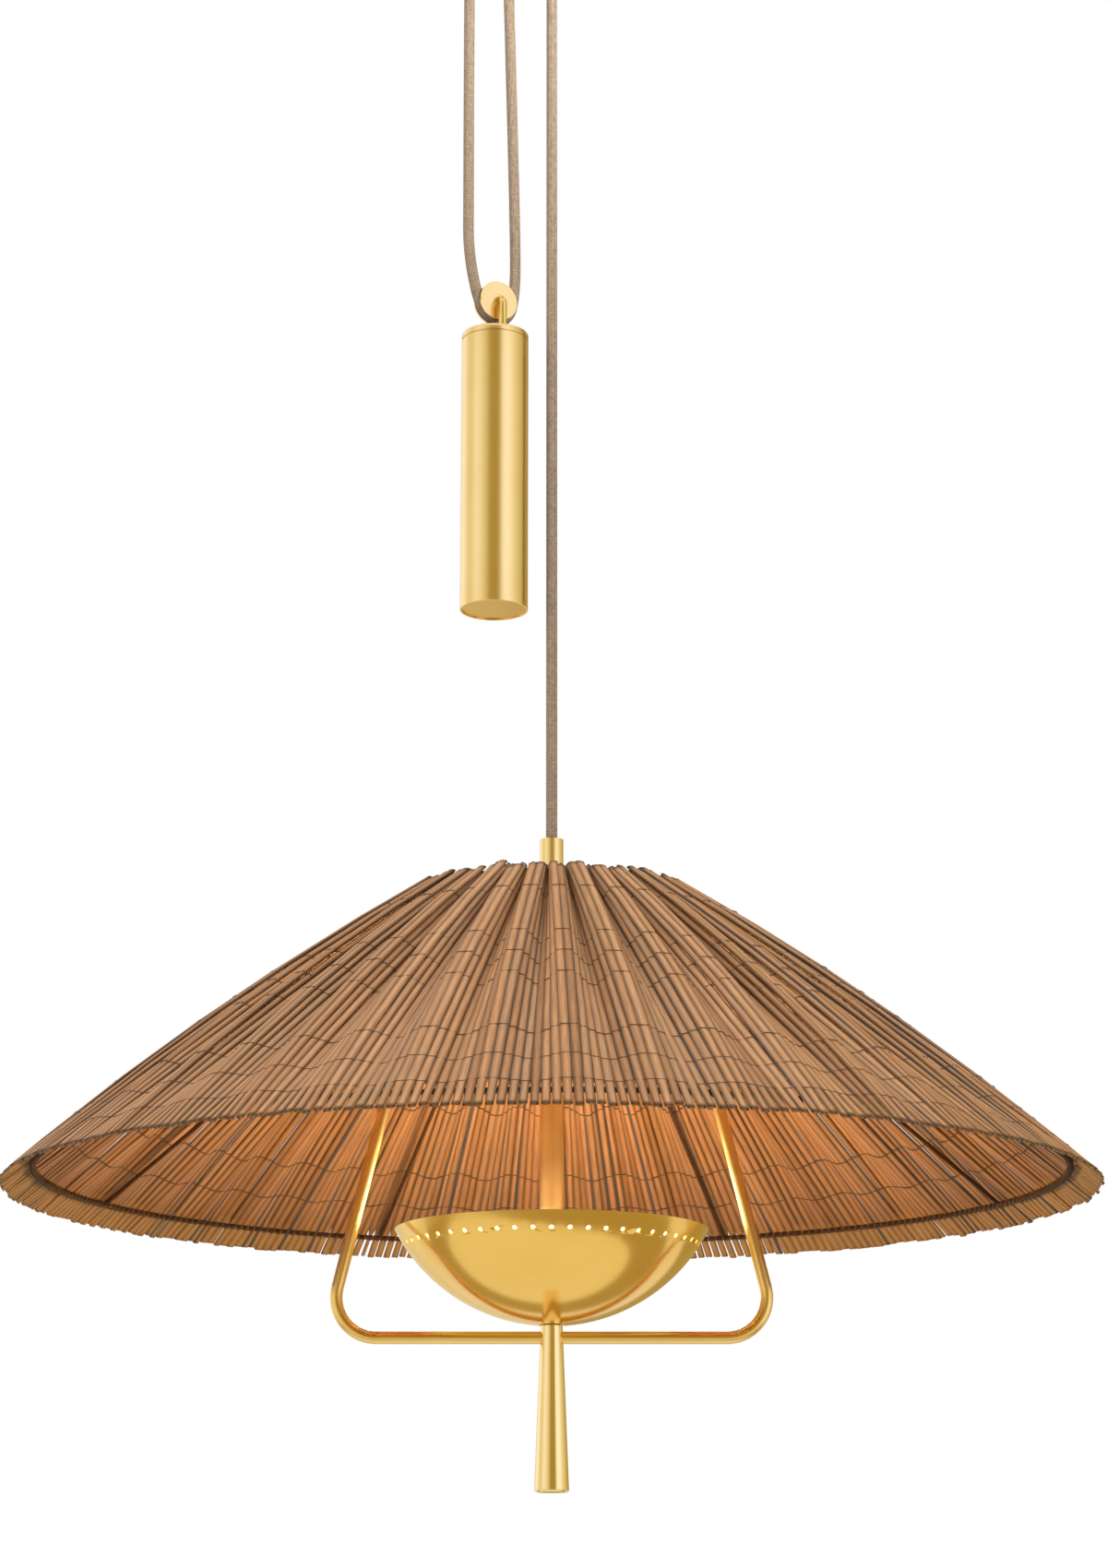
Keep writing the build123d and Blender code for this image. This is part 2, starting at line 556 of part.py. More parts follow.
# Stem: brass tube from the cord collar down to the bowl
stem_bore = STEM_R - STEM_WALL
bowl_r = (BOWL_RIM_R ** 2 + (BOWL_RIM_Z - BOWL_LOW_Z) ** 2) / (2 * (BOWL_RIM_Z - BOWL_LOW_Z))
bowl_centre_z = BOWL_LOW_Z + bowl_r
bowl_inner_r = bowl_r - BOWL_WALL
washer_low = bowl_centre_z - math.sqrt(bowl_inner_r ** 2 - WASHER_R ** 2) + SEAT_GAP
stem_low = washer_low + WASHER_T + SEAT_GAP
nodes["stem"] = LAMP_AT * tube(STEM_R, stem_bore, stem_low, COLLAR_LOW - SEAT_GAP)
collar = turned([
    (CORD_R + LAY_GAP, COLLAR_TOP),
    (COLLAR_R, COLLAR_TOP),
    (COLLAR_R, COLLAR_LOW),
    (stem_bore - SEAT_GAP, COLLAR_LOW),
    (stem_bore - SEAT_GAP, COLLAR_LOW - COLLAR_SPIGOT_H),
    (stem_bore - SEAT_GAP - COLLAR_WALL, COLLAR_LOW - COLLAR_SPIGOT_H),
    (stem_bore - SEAT_GAP - COLLAR_WALL, COLLAR_TOP - COLLAR_LIP),
    (CORD_R + LAY_GAP, COLLAR_TOP - COLLAR_LIP),
])
nodes["cord_collar"] = LAMP_AT * collar
grip_r = stem_bore - COLLAR_WALL - 2 * SEAT_GAP
grip_top = COLLAR_TOP - COLLAR_LIP - SEAT_GAP
nodes["cord_grip"] = LAMP_AT * tube(grip_r, CORD_R + SEAT_GAP, grip_top - GRIP_H, grip_top)
nodes["stem_plug"] = LAMP_AT * tube(stem_bore - SEAT_GAP, STUD_BOLT_R + SEAT_GAP, stem_low, stem_low + PLUG_H)

# Bowl: a spun brass cap of a sphere with one row of small holes under its rim
bowl = Pos(0, 0, bowl_centre_z) * (Sphere(bowl_r) - Sphere(bowl_inner_r))
bowl &= Pos(0, 0, BOWL_RIM_Z) * Box(
    3 * bowl_r, 3 * bowl_r, 3 * bowl_r, align=(Align.CENTER, Align.CENTER, Align.MAX)
)
bowl -= rod(STUD_BOLT_R + LAY_GAP, BOWL_LOW_Z - BOWL_WALL, BOWL_LOW_Z + 2 * BOWL_WALL)
hole_tilt = math.degrees(math.asin((bowl_centre_z - BOWL_RIM_Z + BOWL_HOLE_DOWN) / bowl_r))
punch = Pos(0, 0, bowl_inner_r - BOWL_WALL) * extrude(RegularPolygon(BOWL_HOLE_R, 8), 3 * BOWL_WALL)
punch = Pos(0, 0, bowl_centre_z) * Rot(0, 90 + hole_tilt, 0) * punch
bowl -= [Rot(0, 0, k * 360 / BOWL_HOLES) * punch for k in range(BOWL_HOLES)]
nodes["bowl"] = LAMP_AT * bowl
nodes["bowl_washer"] = LAMP_AT * tube(WASHER_R, STUD_BOLT_R + SEAT_GAP, washer_low, washer_low + WASHER_T)

# Pull handle: tapered brass with the crossbar brazed in, screwed up against the bowl
handle_top = BOWL_LOW_Z - SEAT_GAP
handle = turned([
    (0, HANDLE_LOW_Z),
    (HANDLE_LOW_R - HANDLE_EDGE, HANDLE_LOW_Z),
    (HANDLE_LOW_R, HANDLE_LOW_Z + HANDLE_EDGE),
    (HANDLE_TOP_R, handle_top),
    (0, handle_top),
])
taper = (HANDLE_LOW_R - HANDLE_TOP_R) / (handle_top - HANDLE_LOW_Z)
crossbar_end = HANDLE_TOP_R + taper * (handle_top - CROSSBAR_Z) - CROSSBAR_SEAT
crossbar_socket = rod(ARM_R + SEAT_GAP, crossbar_end - SEAT_GAP, HANDLE_LOW_R)
for turn in (90, -90):
    handle -= Pos(0, 0, CROSSBAR_Z) * Rot(0, turn, 0) * crossbar_socket
handle -= rod(STUD_BOLT_R + SEAT_GAP, handle_top - HANDLE_TAP, handle_top)
nodes["pull_handle"] = LAMP_AT * handle
stud_low = handle_top - HANDLE_TAP + SEAT_GAP
nodes["handle_stud"] = LAMP_AT * rod(STUD_BOLT_R, stud_low, stem_low + PLUG_H)

# Stirrup: two bent brass tubes, each from the spider down and in to the handle
arm_top = Vector(arm_top_x, 0, bar_low - SEAT_GAP)
arm_foot = Vector(ARM_FOOT_X, 0, CROSSBAR_Z)
arm_down = (arm_foot - arm_top).normalized()
arm_start = arm_top + arm_down * (FERRULE_CROWN + SEAT_GAP)
arm_path = FilletPolyline(arm_start, arm_foot, Vector(crossbar_end, 0, CROSSBAR_Z), radius=ARM_BEND)
arm_section = Plane(origin=arm_path @ 0, z_dir=arm_path % 0) * (Circle(ARM_R) - Circle(ARM_R - ARM_WALL))
arm = sweep(arm_section, path=arm_path)
nodes["right_arm"] = LAMP_AT * arm
nodes["left_arm"] = LAMP_AT * Rot(0, 0, 180) * arm
down_arm = Plane(origin=arm_top, z_dir=arm_down).location
ferrule = down_arm * (rod(FERRULE_R, -FERRULE_R, FERRULE_H) - rod(ARM_R + SEAT_GAP, FERRULE_CROWN, FERRULE_H))
ferrule &= Pos(arm_top_x, 0, arm_top.Z) * Box(
    4 * FERRULE_R, 4 * FERRULE_R, 2 * FERRULE_H, align=(Align.CENTER, Align.CENTER, Align.MAX)
)
screw_tip = arm_top.Z - FERRULE_CROWN / 2
ferrule -= Pos(arm_top_x, 0, 0) * rod(ARM_SCREW_R + SEAT_GAP, screw_tip - SEAT_GAP, arm_top.Z)
bar_top = bar_low + BAR_T
arm_screw = rod(ARM_SCREW_R, screw_tip, bar_top)
arm_screw += rod(ARM_SCREW_HEAD_R, bar_top, bar_top + ARM_SCREW_HEAD_H)
arm_screw = Pos(arm_top_x, 0, 0) * arm_screw
nodes["arm_ferrules"] = group(LAMP_AT * Rot(0, 0, turn) * ferrule for turn in (0, 180))
nodes["arm_screws"] = group(LAMP_AT * Rot(0, 0, turn) * arm_screw for turn in (0, 180))

# Lampholders: three small sockets on a plate round the stem, with capsule bulbs
collar_low = stem_low
collar_high = collar_low + HOLDER_COLLAR_H
plate_low = collar_high + SEAT_GAP
holder_low = plate_low + HOLDER_PLATE_T + SEAT_GAP
nodes["plate_collar"] = LAMP_AT * tube(HOLDER_COLLAR_R, STEM_R + SEAT_GAP, collar_low, collar_high)
plate_high = plate_low + HOLDER_PLATE_T
nodes["socket_plate"] = LAMP_AT * tube(HOLDER_PLATE_R, STEM_R + SEAT_GAP, plate_low, plate_high)
holder = rod(HOLDER_R, 0, HOLDER_H) - rod(BULB_R * 0.8, HOLDER_H - BULB_SEAT, HOLDER_H)
bulb_foot = BULB_R * 0.8 - SEAT_GAP
bulb_shoulder = HOLDER_H + SEAT_GAP
bulb = turned([
    (0, HOLDER_H - BULB_SEAT + SEAT_GAP),
    (bulb_foot, HOLDER_H - BULB_SEAT + SEAT_GAP),
    (bulb_foot, bulb_shoulder),
    (BULB_R, bulb_shoulder),
    (BULB_R, bulb_shoulder + BULB_H - BULB_R * 0.8),
    (BULB_R * 0.7, bulb_shoulder + BULB_H - BULB_R * 0.2),
    (0, bulb_shoulder + BULB_H),
])
for k in range(HOLDERS):
    spot = LAMP_AT * Rot(0, 0, 90 + k * 360 / HOLDERS) * Pos(HOLDER_CIRCLE_R, 0, holder_low)
    nodes["socket_" + str(k + 1)] = spot * holder
    nodes["bulb_" + str(k + 1)] = spot * bulb

os.makedirs("parts", exist_ok=True)
for name, shape in nodes.items():
    export_step(shape, os.path.join("parts", name + ".step"))
print(len(nodes), "nodes")
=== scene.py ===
import math
import random

import bmesh
import bpy
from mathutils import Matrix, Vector


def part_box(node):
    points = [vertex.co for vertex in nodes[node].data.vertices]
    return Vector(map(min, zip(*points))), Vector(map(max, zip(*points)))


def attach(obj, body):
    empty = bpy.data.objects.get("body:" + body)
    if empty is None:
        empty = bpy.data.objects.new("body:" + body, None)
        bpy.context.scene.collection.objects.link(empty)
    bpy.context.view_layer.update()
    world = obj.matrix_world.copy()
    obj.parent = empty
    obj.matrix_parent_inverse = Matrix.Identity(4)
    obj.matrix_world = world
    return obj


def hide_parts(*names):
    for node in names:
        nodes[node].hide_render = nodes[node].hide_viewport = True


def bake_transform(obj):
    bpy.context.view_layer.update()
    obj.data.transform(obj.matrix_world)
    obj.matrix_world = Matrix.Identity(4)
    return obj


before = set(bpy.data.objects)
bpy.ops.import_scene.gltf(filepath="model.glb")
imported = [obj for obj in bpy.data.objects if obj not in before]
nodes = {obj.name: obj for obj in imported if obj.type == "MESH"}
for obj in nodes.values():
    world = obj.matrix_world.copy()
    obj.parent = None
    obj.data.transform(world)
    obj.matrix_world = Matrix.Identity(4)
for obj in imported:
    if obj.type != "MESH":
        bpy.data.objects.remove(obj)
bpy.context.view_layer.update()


# Studio: white surroundings and a pale floor far below the hanging lamp, lit by three soft boxes and
# a small one for the cords. The camera looks slightly up, as in the photograph.
scene = bpy.context.scene
scene.view_settings.view_transform = "Standard"

camera_tilt = 15.18
camera_data = bpy.data.cameras.new("camera")
camera_data.sensor_fit = "VERTICAL"
camera_data.sensor_width = 36
camera_data.sensor_height = 36
camera_data.lens = 75.05
camera = bpy.data.objects.new("camera", camera_data)
camera.location = (0.0330, -2.2804, -1.3433)
camera.rotation_euler = (math.radians(90 + camera_tilt), 0, 0)
scene.collection.objects.link(camera)
scene.camera = camera


def feed(tree, node, values):
    """Set inputs of a node, or link those whose value comes from another node."""
    for socket, value in values.items():
        if isinstance(value, bpy.types.NodeSocket):
            tree.links.new(value, node.inputs[socket])
        else:
            node.inputs[socket].default_value = value


def figure(tree, operation, *values, clamp=False):
    """Result of a Math node."""
    node = tree.nodes.new("ShaderNodeMath")
    node.operation = operation
    node.use_clamp = clamp
    feed(tree, node, dict(enumerate(values)))
    return node.outputs[0]


def either(tree, share, first, second):
    """Shader that goes from the first to the second as the share goes from 0 to 1."""
    mix = tree.nodes.new("ShaderNodeMixShader")
    tree.links.new(share, mix.inputs["Fac"])
    tree.links.new(first.outputs[0], mix.inputs[1])
    tree.links.new(second.outputs[0], mix.inputs[2])
    return mix


world = bpy.data.worlds.new("white_studio")
scene.world = world
world.use_nodes = True
sky = world.node_tree
sky.nodes.clear()
seen_white = sky.nodes.new("ShaderNodeBackground")
seen_white.inputs["Color"].default_value = (1, 1, 1, 1)
seen_white.inputs["Strength"].default_value = 1.0
room_light = sky.nodes.new("ShaderNodeBackground")
room_light.inputs["Color"].default_value = (1.0, 0.985, 0.96, 1)
room_light.inputs["Strength"].default_value = 0.46
sky_ray = sky.nodes.new("ShaderNodeLightPath").outputs
camera_or_glossy = figure(sky, "ADD", sky_ray["Is Camera Ray"], sky_ray["Is Glossy Ray"])
seen_direct = figure(sky, "ADD", camera_or_glossy, sky_ray["Is Transmission Ray"])
shows_white = figure(sky, "SUBTRACT", seen_direct, sky_ray["Diffuse Depth"], clamp=True)
sky_seen = either(sky, shows_white, room_light, seen_white)
sky_out = sky.nodes.new("ShaderNodeOutputWorld")
sky.links.new(sky_seen.outputs[0], sky_out.inputs["Surface"])


def new_material(name, settings):
    """A node material; settings are the constant inputs of its Principled shader."""
    material = bpy.data.materials.new(name)
    material.use_nodes = True
    tree = material.node_tree
    shader = tree.nodes["Principled BSDF"]
    feed(tree, shader, settings)
    return material, tree, shader


floor_z = -2.25
floor_material, floor_tree, floor_shader = new_material("pale_floor", {
    "Base Color": (0.86, 0.86, 0.85, 1), "Roughness": 0.9,
    "Emission Color": (1, 1, 1, 1), "Emission Strength": 0.32,
})
floor_ray = floor_tree.nodes.new("ShaderNodeLightPath").outputs
floor_white = floor_tree.nodes.new("ShaderNodeEmission")
floor_white.inputs["Color"].default_value = (0.90, 0.88, 0.84, 1)
floor_dull = floor_tree.nodes.new("ShaderNodeBsdfDiffuse")
floor_dull.inputs["Color"].default_value = (0.30, 0.29, 0.27, 1)
floor_bounce = either(floor_tree, floor_ray["Is Diffuse Ray"], floor_shader, floor_dull)
floor_seen = either(floor_tree, floor_ray["Is Glossy Ray"], floor_bounce, floor_white)
floor_tree.links.new(floor_seen.outputs[0], floor_tree.nodes["Material Output"].inputs["Surface"])
bpy.ops.object.select_all(action="DESELECT")
bpy.ops.mesh.primitive_plane_add(size=14, location=(0, 0, floor_z))
floor = bpy.context.object
floor.name = "floor"
floor.data.materials.append(floor_material)


def soft_box(name, place, aim, size, power, spread_angle=180):
    """A square area light turned to a point."""
    light = bpy.data.lights.new(name, "AREA")
    light.shape = "SQUARE"
    light.size = size
    light.energy = power
    light.spread = math.radians(spread_angle)
    box = bpy.data.objects.new(name, light)
    box.location = place
    box.rotation_euler = (Vector(place) - Vector(aim)).to_track_quat("Z", "Y").to_euler()
    box.visible_glossy = False
    scene.collection.objects.link(box)


shade_middle = (0.03, 0, -0.85)
cord_top = (0.02, 0, 0)
soft_box("left_box", (-2.1, -1.9, 0.5), shade_middle, 1.5, 50)
soft_box("right_box", (2.2, -1.5, 0.1), shade_middle, 1.5, 37)
soft_box("top_box", (0.0, 0.4, 1.6), shade_middle, 1.8, 26)
soft_box("cord_box", (0.42, -0.45, 0.0), cord_top, 0.3, 0.95, spread_angle=78)


# Cards: a ring of graded card round the lamp and a low oval one under it, both outside the picture.
# Only reflections show them, and they give the brass its bands.
def card_material(name):
    """A matt card that metal sees at its own tone, whatever light falls on it."""
    return new_material(name, {
        "Base Color": (0, 0, 0, 1), "Specular IOR Level": 0.0, "Emission Strength": 1.0,
    })


def glossy_only(flag, material):
    """Let a card show only in reflections, as studio cards outside the picture do."""
    flag.visible_camera = False
    flag.visible_diffuse = False
    flag.visible_shadow = False
    flag.visible_transmission = False
    flag.data.materials.append(material)


def own_place(tree):
    """Place of a point in its object."""
    return tree.nodes.new("ShaderNodeTexCoord").outputs["Object"]


def parts_of(tree, vector):
    """The X, Y and Z of a vector."""
    apart = tree.nodes.new("ShaderNodeSeparateXYZ")
    tree.links.new(vector, apart.inputs["Vector"])
    return apart.outputs["X"], apart.outputs["Y"], apart.outputs["Z"]


def spread(tree, value, low, high, to_low=0.0, to_high=1.0, smooth=False):
    """A value between low and high, brought to between to_low and to_high."""
    node = tree.nodes.new("ShaderNodeMapRange")
    if smooth:
        node.interpolation_type = "SMOOTHSTEP"
    feed(tree, node, {
        "Value": value, "From Min": low, "From Max": high, "To Min": to_low, "To Max": to_high,
    })
    return node.outputs["Result"]


def shades(tree, value, *stops):
    """Colour of a ramp of stops, each a place and a colour."""
    ramp = tree.nodes.new("ShaderNodeValToRGB")
    elements = ramp.color_ramp.elements
    for end, (place, colour) in enumerate((stops[0], stops[-1])):
        elements[end].position = place
        elements[end].color = colour
    for place, colour in stops[1:-1]:
        elements.new(place).color = colour
    tree.links.new(value, ramp.inputs["Fac"])
    return ramp.outputs["Color"]


ring_card, ring_tree, ring_shader = card_material("graded_card")
ring_x, ring_y, ring_z = parts_of(ring_tree, own_place(ring_tree))
ring_turn = figure(ring_tree, "ARCTAN2", ring_x, figure(ring_tree, "MULTIPLY", ring_y, -1.0))
ring_lean = spread(ring_tree, ring_z, -0.30, 0.10, -math.radians(9), 0.0)
ring_leant = figure(ring_tree, "ADD", ring_turn, ring_lean)
ring_share = spread(ring_tree, ring_leant, -math.pi, math.pi)
ring_steps = (
    (-165, 0.80), (-142, 1.06), (-122, 1.10), (-104, 0.87), (-86, 0.82), (-66, 1.03), (-52, 0.98),
    (-28, 0.72), (-14, 0.41), (16, 0.41), (25, 0.94), (31, 1.08), (46, 1.14), (60, 1.02), (76, 0.84),
    (94, 0.72), (112, 0.60), (130, 0.45), (152, 0.45),
)
ring_green = 1.3
ring_blue = 2.7
ring_stops = []
for turn, level in ring_steps:
    ring_stops.append(((turn + 180) / 360, (level, level ** ring_green, level ** ring_blue, 1)))
ring_tone = shades(ring_tree, ring_share, *ring_stops)
ring_tree.links.new(ring_tone, ring_shader.inputs["Emission Color"])
ring_ray = ring_tree.nodes.new("ShaderNodeLightPath").outputs
ring_direct = figure(ring_tree, "SUBTRACT", 1.0, ring_ray["Diffuse Depth"], clamp=True)
ring_tree.links.new(ring_direct, ring_shader.inputs["Emission Strength"])
bpy.ops.object.select_all(action="DESELECT")
bpy.ops.mesh.primitive_cylinder_add(
    vertices=96, radius=3.2, depth=5.0, end_fill_type="NOTHING", location=(0, 0, 0.3),
)
studio_ring = bpy.context.object
studio_ring.name = "studio_ring"
glossy_only(studio_ring, ring_card)

low_card, low_tree, low_shader = card_material("low_card")
low_x = parts_of(low_tree, own_place(low_tree))[0]
low_side = spread(low_tree, low_x, -2.15, -1.95)
low_tone = shades(low_tree, low_side, (0, (0.64, 0.59, 0.48, 1)), (1, (0.46, 0.37, 0.18, 1)))
low_tree.links.new(low_tone, low_shader.inputs["Emission Color"])
low_z = floor_z + 0.01
bpy.ops.object.select_all(action="DESELECT")
bpy.ops.mesh.primitive_circle_add(vertices=64, radius=0.86, fill_type="NOTHING", location=(-0.06, 0, low_z))
low_flag = bpy.context.object
low_flag.name = "low_flag"
bpy.ops.object.mode_set(mode="EDIT")
bpy.ops.mesh.select_all(action="SELECT")
bpy.ops.transform.resize(value=(1.55, 1, 1), center_override=(0.45, 0, low_z))
bpy.ops.mesh.extrude_edges_move()
bpy.ops.transform.resize(value=(2.1, 1.7, 1), center_override=(-0.30, 0, low_z))
bpy.ops.object.mode_set(mode="OBJECT")
glossy_only(low_flag, low_card)


# Ceiling fitting: a spun brass canopy on a steel plate, with the cord's wheel, gland and terminal
# block inside. It is screwed to the ceiling above the picture.
def noise(tree, vector, scale, detail=2.0, roughness=0.5):
    """Value of a noise."""
    node = tree.nodes.new("ShaderNodeTexNoise")
    feed(tree, node, {"Vector": vector, "Scale": scale, "Detail": detail, "Roughness": roughness})
    return node.outputs["Fac"]


def mixed(tree, share, first, second):
    """Colour that goes from the first to the second as the share goes from 0 to 1."""
    mix = tree.nodes.new("ShaderNodeMix")
    mix.data_type = "RGBA"
    feed(tree, mix, {"Factor": share, "A": first, "B": second})
    return mix.outputs["Result"]


def emboss(tree, shader, height, strength, distance):
    """Raise a surface by a height."""
    bump = tree.nodes.new("ShaderNodeBump")
    feed(tree, bump, {"Strength": strength, "Distance": distance, "Height": height})
    tree.links.new(bump.outputs["Normal"], shader.inputs["Normal"])


def new_group(name, inputs, outputs):
    """An empty node group; inputs and outputs give each socket's kind."""
    group = bpy.data.node_groups.new(name, "ShaderNodeTree")
    for way, sockets in (("INPUT", inputs), ("OUTPUT", outputs)):
        for socket, kind in sockets.items():
            group.interface.new_socket(socket, in_out=way, socket_type="NodeSocket" + kind)
    given = group.nodes.new("NodeGroupInput").outputs
    result = group.nodes.new("NodeGroupOutput").inputs
    return group, given, result


def placed(tree, group, values):
    """Outputs of a node group placed in a material with its own values."""
    node = tree.nodes.new("ShaderNodeGroup")
    node.node_tree = group
    feed(tree, node, values)
    return node.outputs


def brass_surface():
    """Brushed brass: fine streaks along one direction and a faint uneven tarnish."""
    group, given, result = new_group("brass_surface", {
        "Streak Vector": "Vector", "Place": "Vector", "Bright": "Color", "Deep": "Color",
        "Smoothest": "Float", "Roughest": "Float",
    }, {"Color": "Color", "Roughness": "Float", "Height": "Float"})
    streaks = noise(group, given["Streak Vector"], 1.0, detail=5.0)
    tarnish = noise(group, given["Place"], 22.0, detail=4.0)
    uneven = spread(group, tarnish, 0.42, 0.72, 0.0, 0.40)
    deepened = figure(group, "ADD", uneven, figure(group, "MULTIPLY", streaks, 0.14), clamp=True)
    group.links.new(mixed(group, deepened, given["Bright"], given["Deep"]), result["Color"])
    polish = spread(group, streaks, 0.3, 0.7, given["Smoothest"], given["Roughest"])
    group.links.new(polish, result["Roughness"])
    group.links.new(streaks, result["Height"])
    return group


brass_group = brass_surface()


def brass(name, stretch, smoothest, roughest, brushed,
          bright=(0.95, 0.71, 0.33, 1), deep=(0.88, 0.62, 0.24, 1)):
    """A brass finish; stretch sets which way its brushing runs."""
    material, tree, shader = new_material(name, {"Metallic": 1.0})
    where = own_place(tree)
    brushing = tree.nodes.new("ShaderNodeMapping")
    feed(tree, brushing, {"Vector": where, "Scale": stretch})
    surface = placed(tree, brass_group, {
        "Streak Vector": brushing.outputs["Vector"], "Place": where, "Bright": bright, "Deep": deep,
        "Smoothest": smoothest, "Roughest": roughest,
    })
    feed(tree, shader, {"Base Color": surface["Color"], "Roughness": surface["Roughness"]})
    emboss(tree, shader, surface["Height"], brushed, 0.0004)
    return material


def mottle():
    """Clouds of one tone in another."""
    group, given, result = new_group("mottle", {
        "Place": "Vector", "Scale": "Float", "Detail": "Float", "First": "Color", "Second": "Color",
    }, {"Color": "Color"})
    clouds = noise(group, given["Place"], given["Scale"], given["Detail"])
    group.links.new(mixed(group, clouds, given["First"], given["Second"]), result["Color"])
    return group


mottle_group = mottle()


def mottled(name, scale, detail, first, second, settings):
    """A finish that wavers between two tones, and glows in them where it has an emission."""
    material, tree, shader = new_material(name, settings)
    tone = placed(tree, mottle_group, {
        "Place": own_place(tree), "Scale": scale, "Detail": detail, "First": first, "Second": second,
    })["Color"]
    tree.links.new(tone, shader.inputs["Base Color"])
    if "Emission Strength" in settings:
        tree.links.new(tone, shader.inputs["Emission Color"])
    return material


def dress(material, *names):
    """Give CAD nodes a finish."""
    for name in names:
        nodes[name].data.materials.clear()
        nodes[name].data.materials.append(material)


spun_brass = brass("spun_brass", (5, 5, 1400), 0.24, 0.34, 0.012)
steel = mottled("plated_steel", 260.0, 6.0, (0.42, 0.42, 0.41, 1), (0.62, 0.62, 0.60, 1), {
    "Metallic": 1.0, "Roughness": 0.38,
})
plastic, plastic_tree, plastic_shader = new_material("white_plastic", {
    "Base Color": (0.80, 0.79, 0.75, 1), "Roughness": 0.5,
})
emboss(plastic_tree, plastic_shader, noise(plastic_tree, own_place(plastic_tree), 900.0), 0.08, 0.0002)

dress(spun_brass, "canopy_cup", "canopy_nuts", "cord_bushes", "anchor_gland", "top_wheel", "top_wheel_bush")
dress(steel, "mounting_plate", "canopy_studs", "pulley_bracket", "bracket_rivets", "pulley_axle", "axle_ring")
dress(steel, "gland_nut")
dress(plastic, "terminal_block")


# Cord: fabric-covered flex in two stretches. One runs from the gland down round the weight's wheel
# and back over the ceiling wheel, the other hangs from there down into the lamp's collar.
cord_radius = 0.0041
lamp_x = 0.0317
anchor = Vector((-0.0317, -0.0107, -0.0155))
return_x = -0.0025
top_axis_z = -0.030
top_pitch = 0.0171
weight_x = -0.0108
wheel_z = -0.3495
wheel_pitch = 0.0139
wheel_yaw = math.radians(27.9)


def beside_wheel(out, up):
    """Point in the plane of the weight's wheel."""
    return Vector((weight_x + out * math.cos(wheel_yaw), out * math.sin(wheel_yaw), wheel_z + up))


def route_line(name, route):
    """Points along the smooth line of a NURBS route."""
    curve = bpy.data.curves.new(name + "_route", "CURVE")
    curve.dimensions = "3D"
    spline = curve.splines.new("NURBS")
    spline.points.add(len(route) - 1)
    for point, place in zip(spline.points, route):
        point.co = (*place, 1)
    spline.order_u = 3
    spline.use_endpoint_u = True
    spline.resolution_u = 16
    guide = bpy.data.objects.new(name + "_route", curve)
    scene.collection.objects.link(guide)
    line = bpy.data.meshes.new_from_object(guide)
    points = [v.co.copy() for v in line.vertices]
    bpy.data.objects.remove(guide)
    bpy.data.meshes.remove(line)
    return points


def cloth_tube(name, points, radius, sides=14):
    """Round tube along points, with a UV map round it and along it in radii."""
    mesh = bpy.data.meshes.new(name)
    shell = bmesh.new()
    uv = shell.loops.layers.uv.new("weave")
    side = None
    rings = []
    run = 0.0
    runs = []
    for i, point in enumerate(points):
        ahead = points[min(i + 1, len(points) - 1)] - points[max(i - 1, 0)]
        ahead.normalize()
        if side is None:
            side = ahead.orthogonal().normalized()
        side = (side - ahead * side.dot(ahead)).normalized()
        other = ahead.cross(side)
        ring = []
        for k in range(sides):
            a = 2 * math.pi * k / sides
            ring.append(shell.verts.new(point + (side * math.cos(a) + other * math.sin(a)) * radius))
        rings.append(ring)
        if i:
            run += (point - points[i - 1]).length
        runs.append(run)
    for i in range(len(rings) - 1):
        for k in range(sides):
            n = (k + 1) % sides
            face = shell.faces.new((rings[i][k], rings[i][n], rings[i + 1][n], rings[i + 1][k]))
            face.smooth = True
            corners = ((k, i), (k + 1, i), (k + 1, i + 1), (k, i + 1))
            for loop, (around, along) in zip(face.loops, corners):
                loop[uv].uv = (around / sides, runs[along] / radius)
    shell.faces.new(list(reversed(rings[0])))
    shell.faces.new(rings[-1])
    bmesh.ops.recalc_face_normals(shell, faces=shell.faces)
    shell.to_mesh(mesh)
    shell.free()
    tube = bpy.data.objects.new(name, mesh)
    scene.collection.objects.link(tube)
    return tube, run


braid_strands = 12
braid_pitch = 9.0
cord_cloth, cord_tree, cord_shader = new_material("braided_cord", {
    "Roughness": 0.85, "Specular IOR Level": 0.2,
})
weave_map = cord_tree.nodes.new("ShaderNodeUVMap")
weave_map.uv_map = "weave"
round_cord, along_cord = parts_of(cord_tree, weave_map.outputs["UV"])[:2]
strands = []
for turns in (braid_strands, -braid_strands):
    wound = figure(cord_tree, "MULTIPLY", round_cord, turns * 2 * math.pi)
    lay = figure(cord_tree, "MULTIPLY_ADD", along_cord, braid_pitch, wound)
    strands.append(figure(cord_tree, "SINE", lay))
braid = figure(cord_tree, "MULTIPLY", *strands)
cord_fuzz = noise(cord_tree, own_place(cord_tree), 420.0, detail=5.0)
fuzzy_braid = figure(cord_tree, "MULTIPLY_ADD", braid, 0.55, cord_fuzz)
cord_tone = shades(cord_tree, fuzzy_braid, (0.15, (0.170, 0.119, 0.079, 1)), (0.85, (0.56, 0.420, 0.293, 1)))
cord_tree.links.new(cord_tone, cord_shader.inputs["Base Color"])
emboss(cord_tree, cord_shader, braid, 0.5, 0.0004)

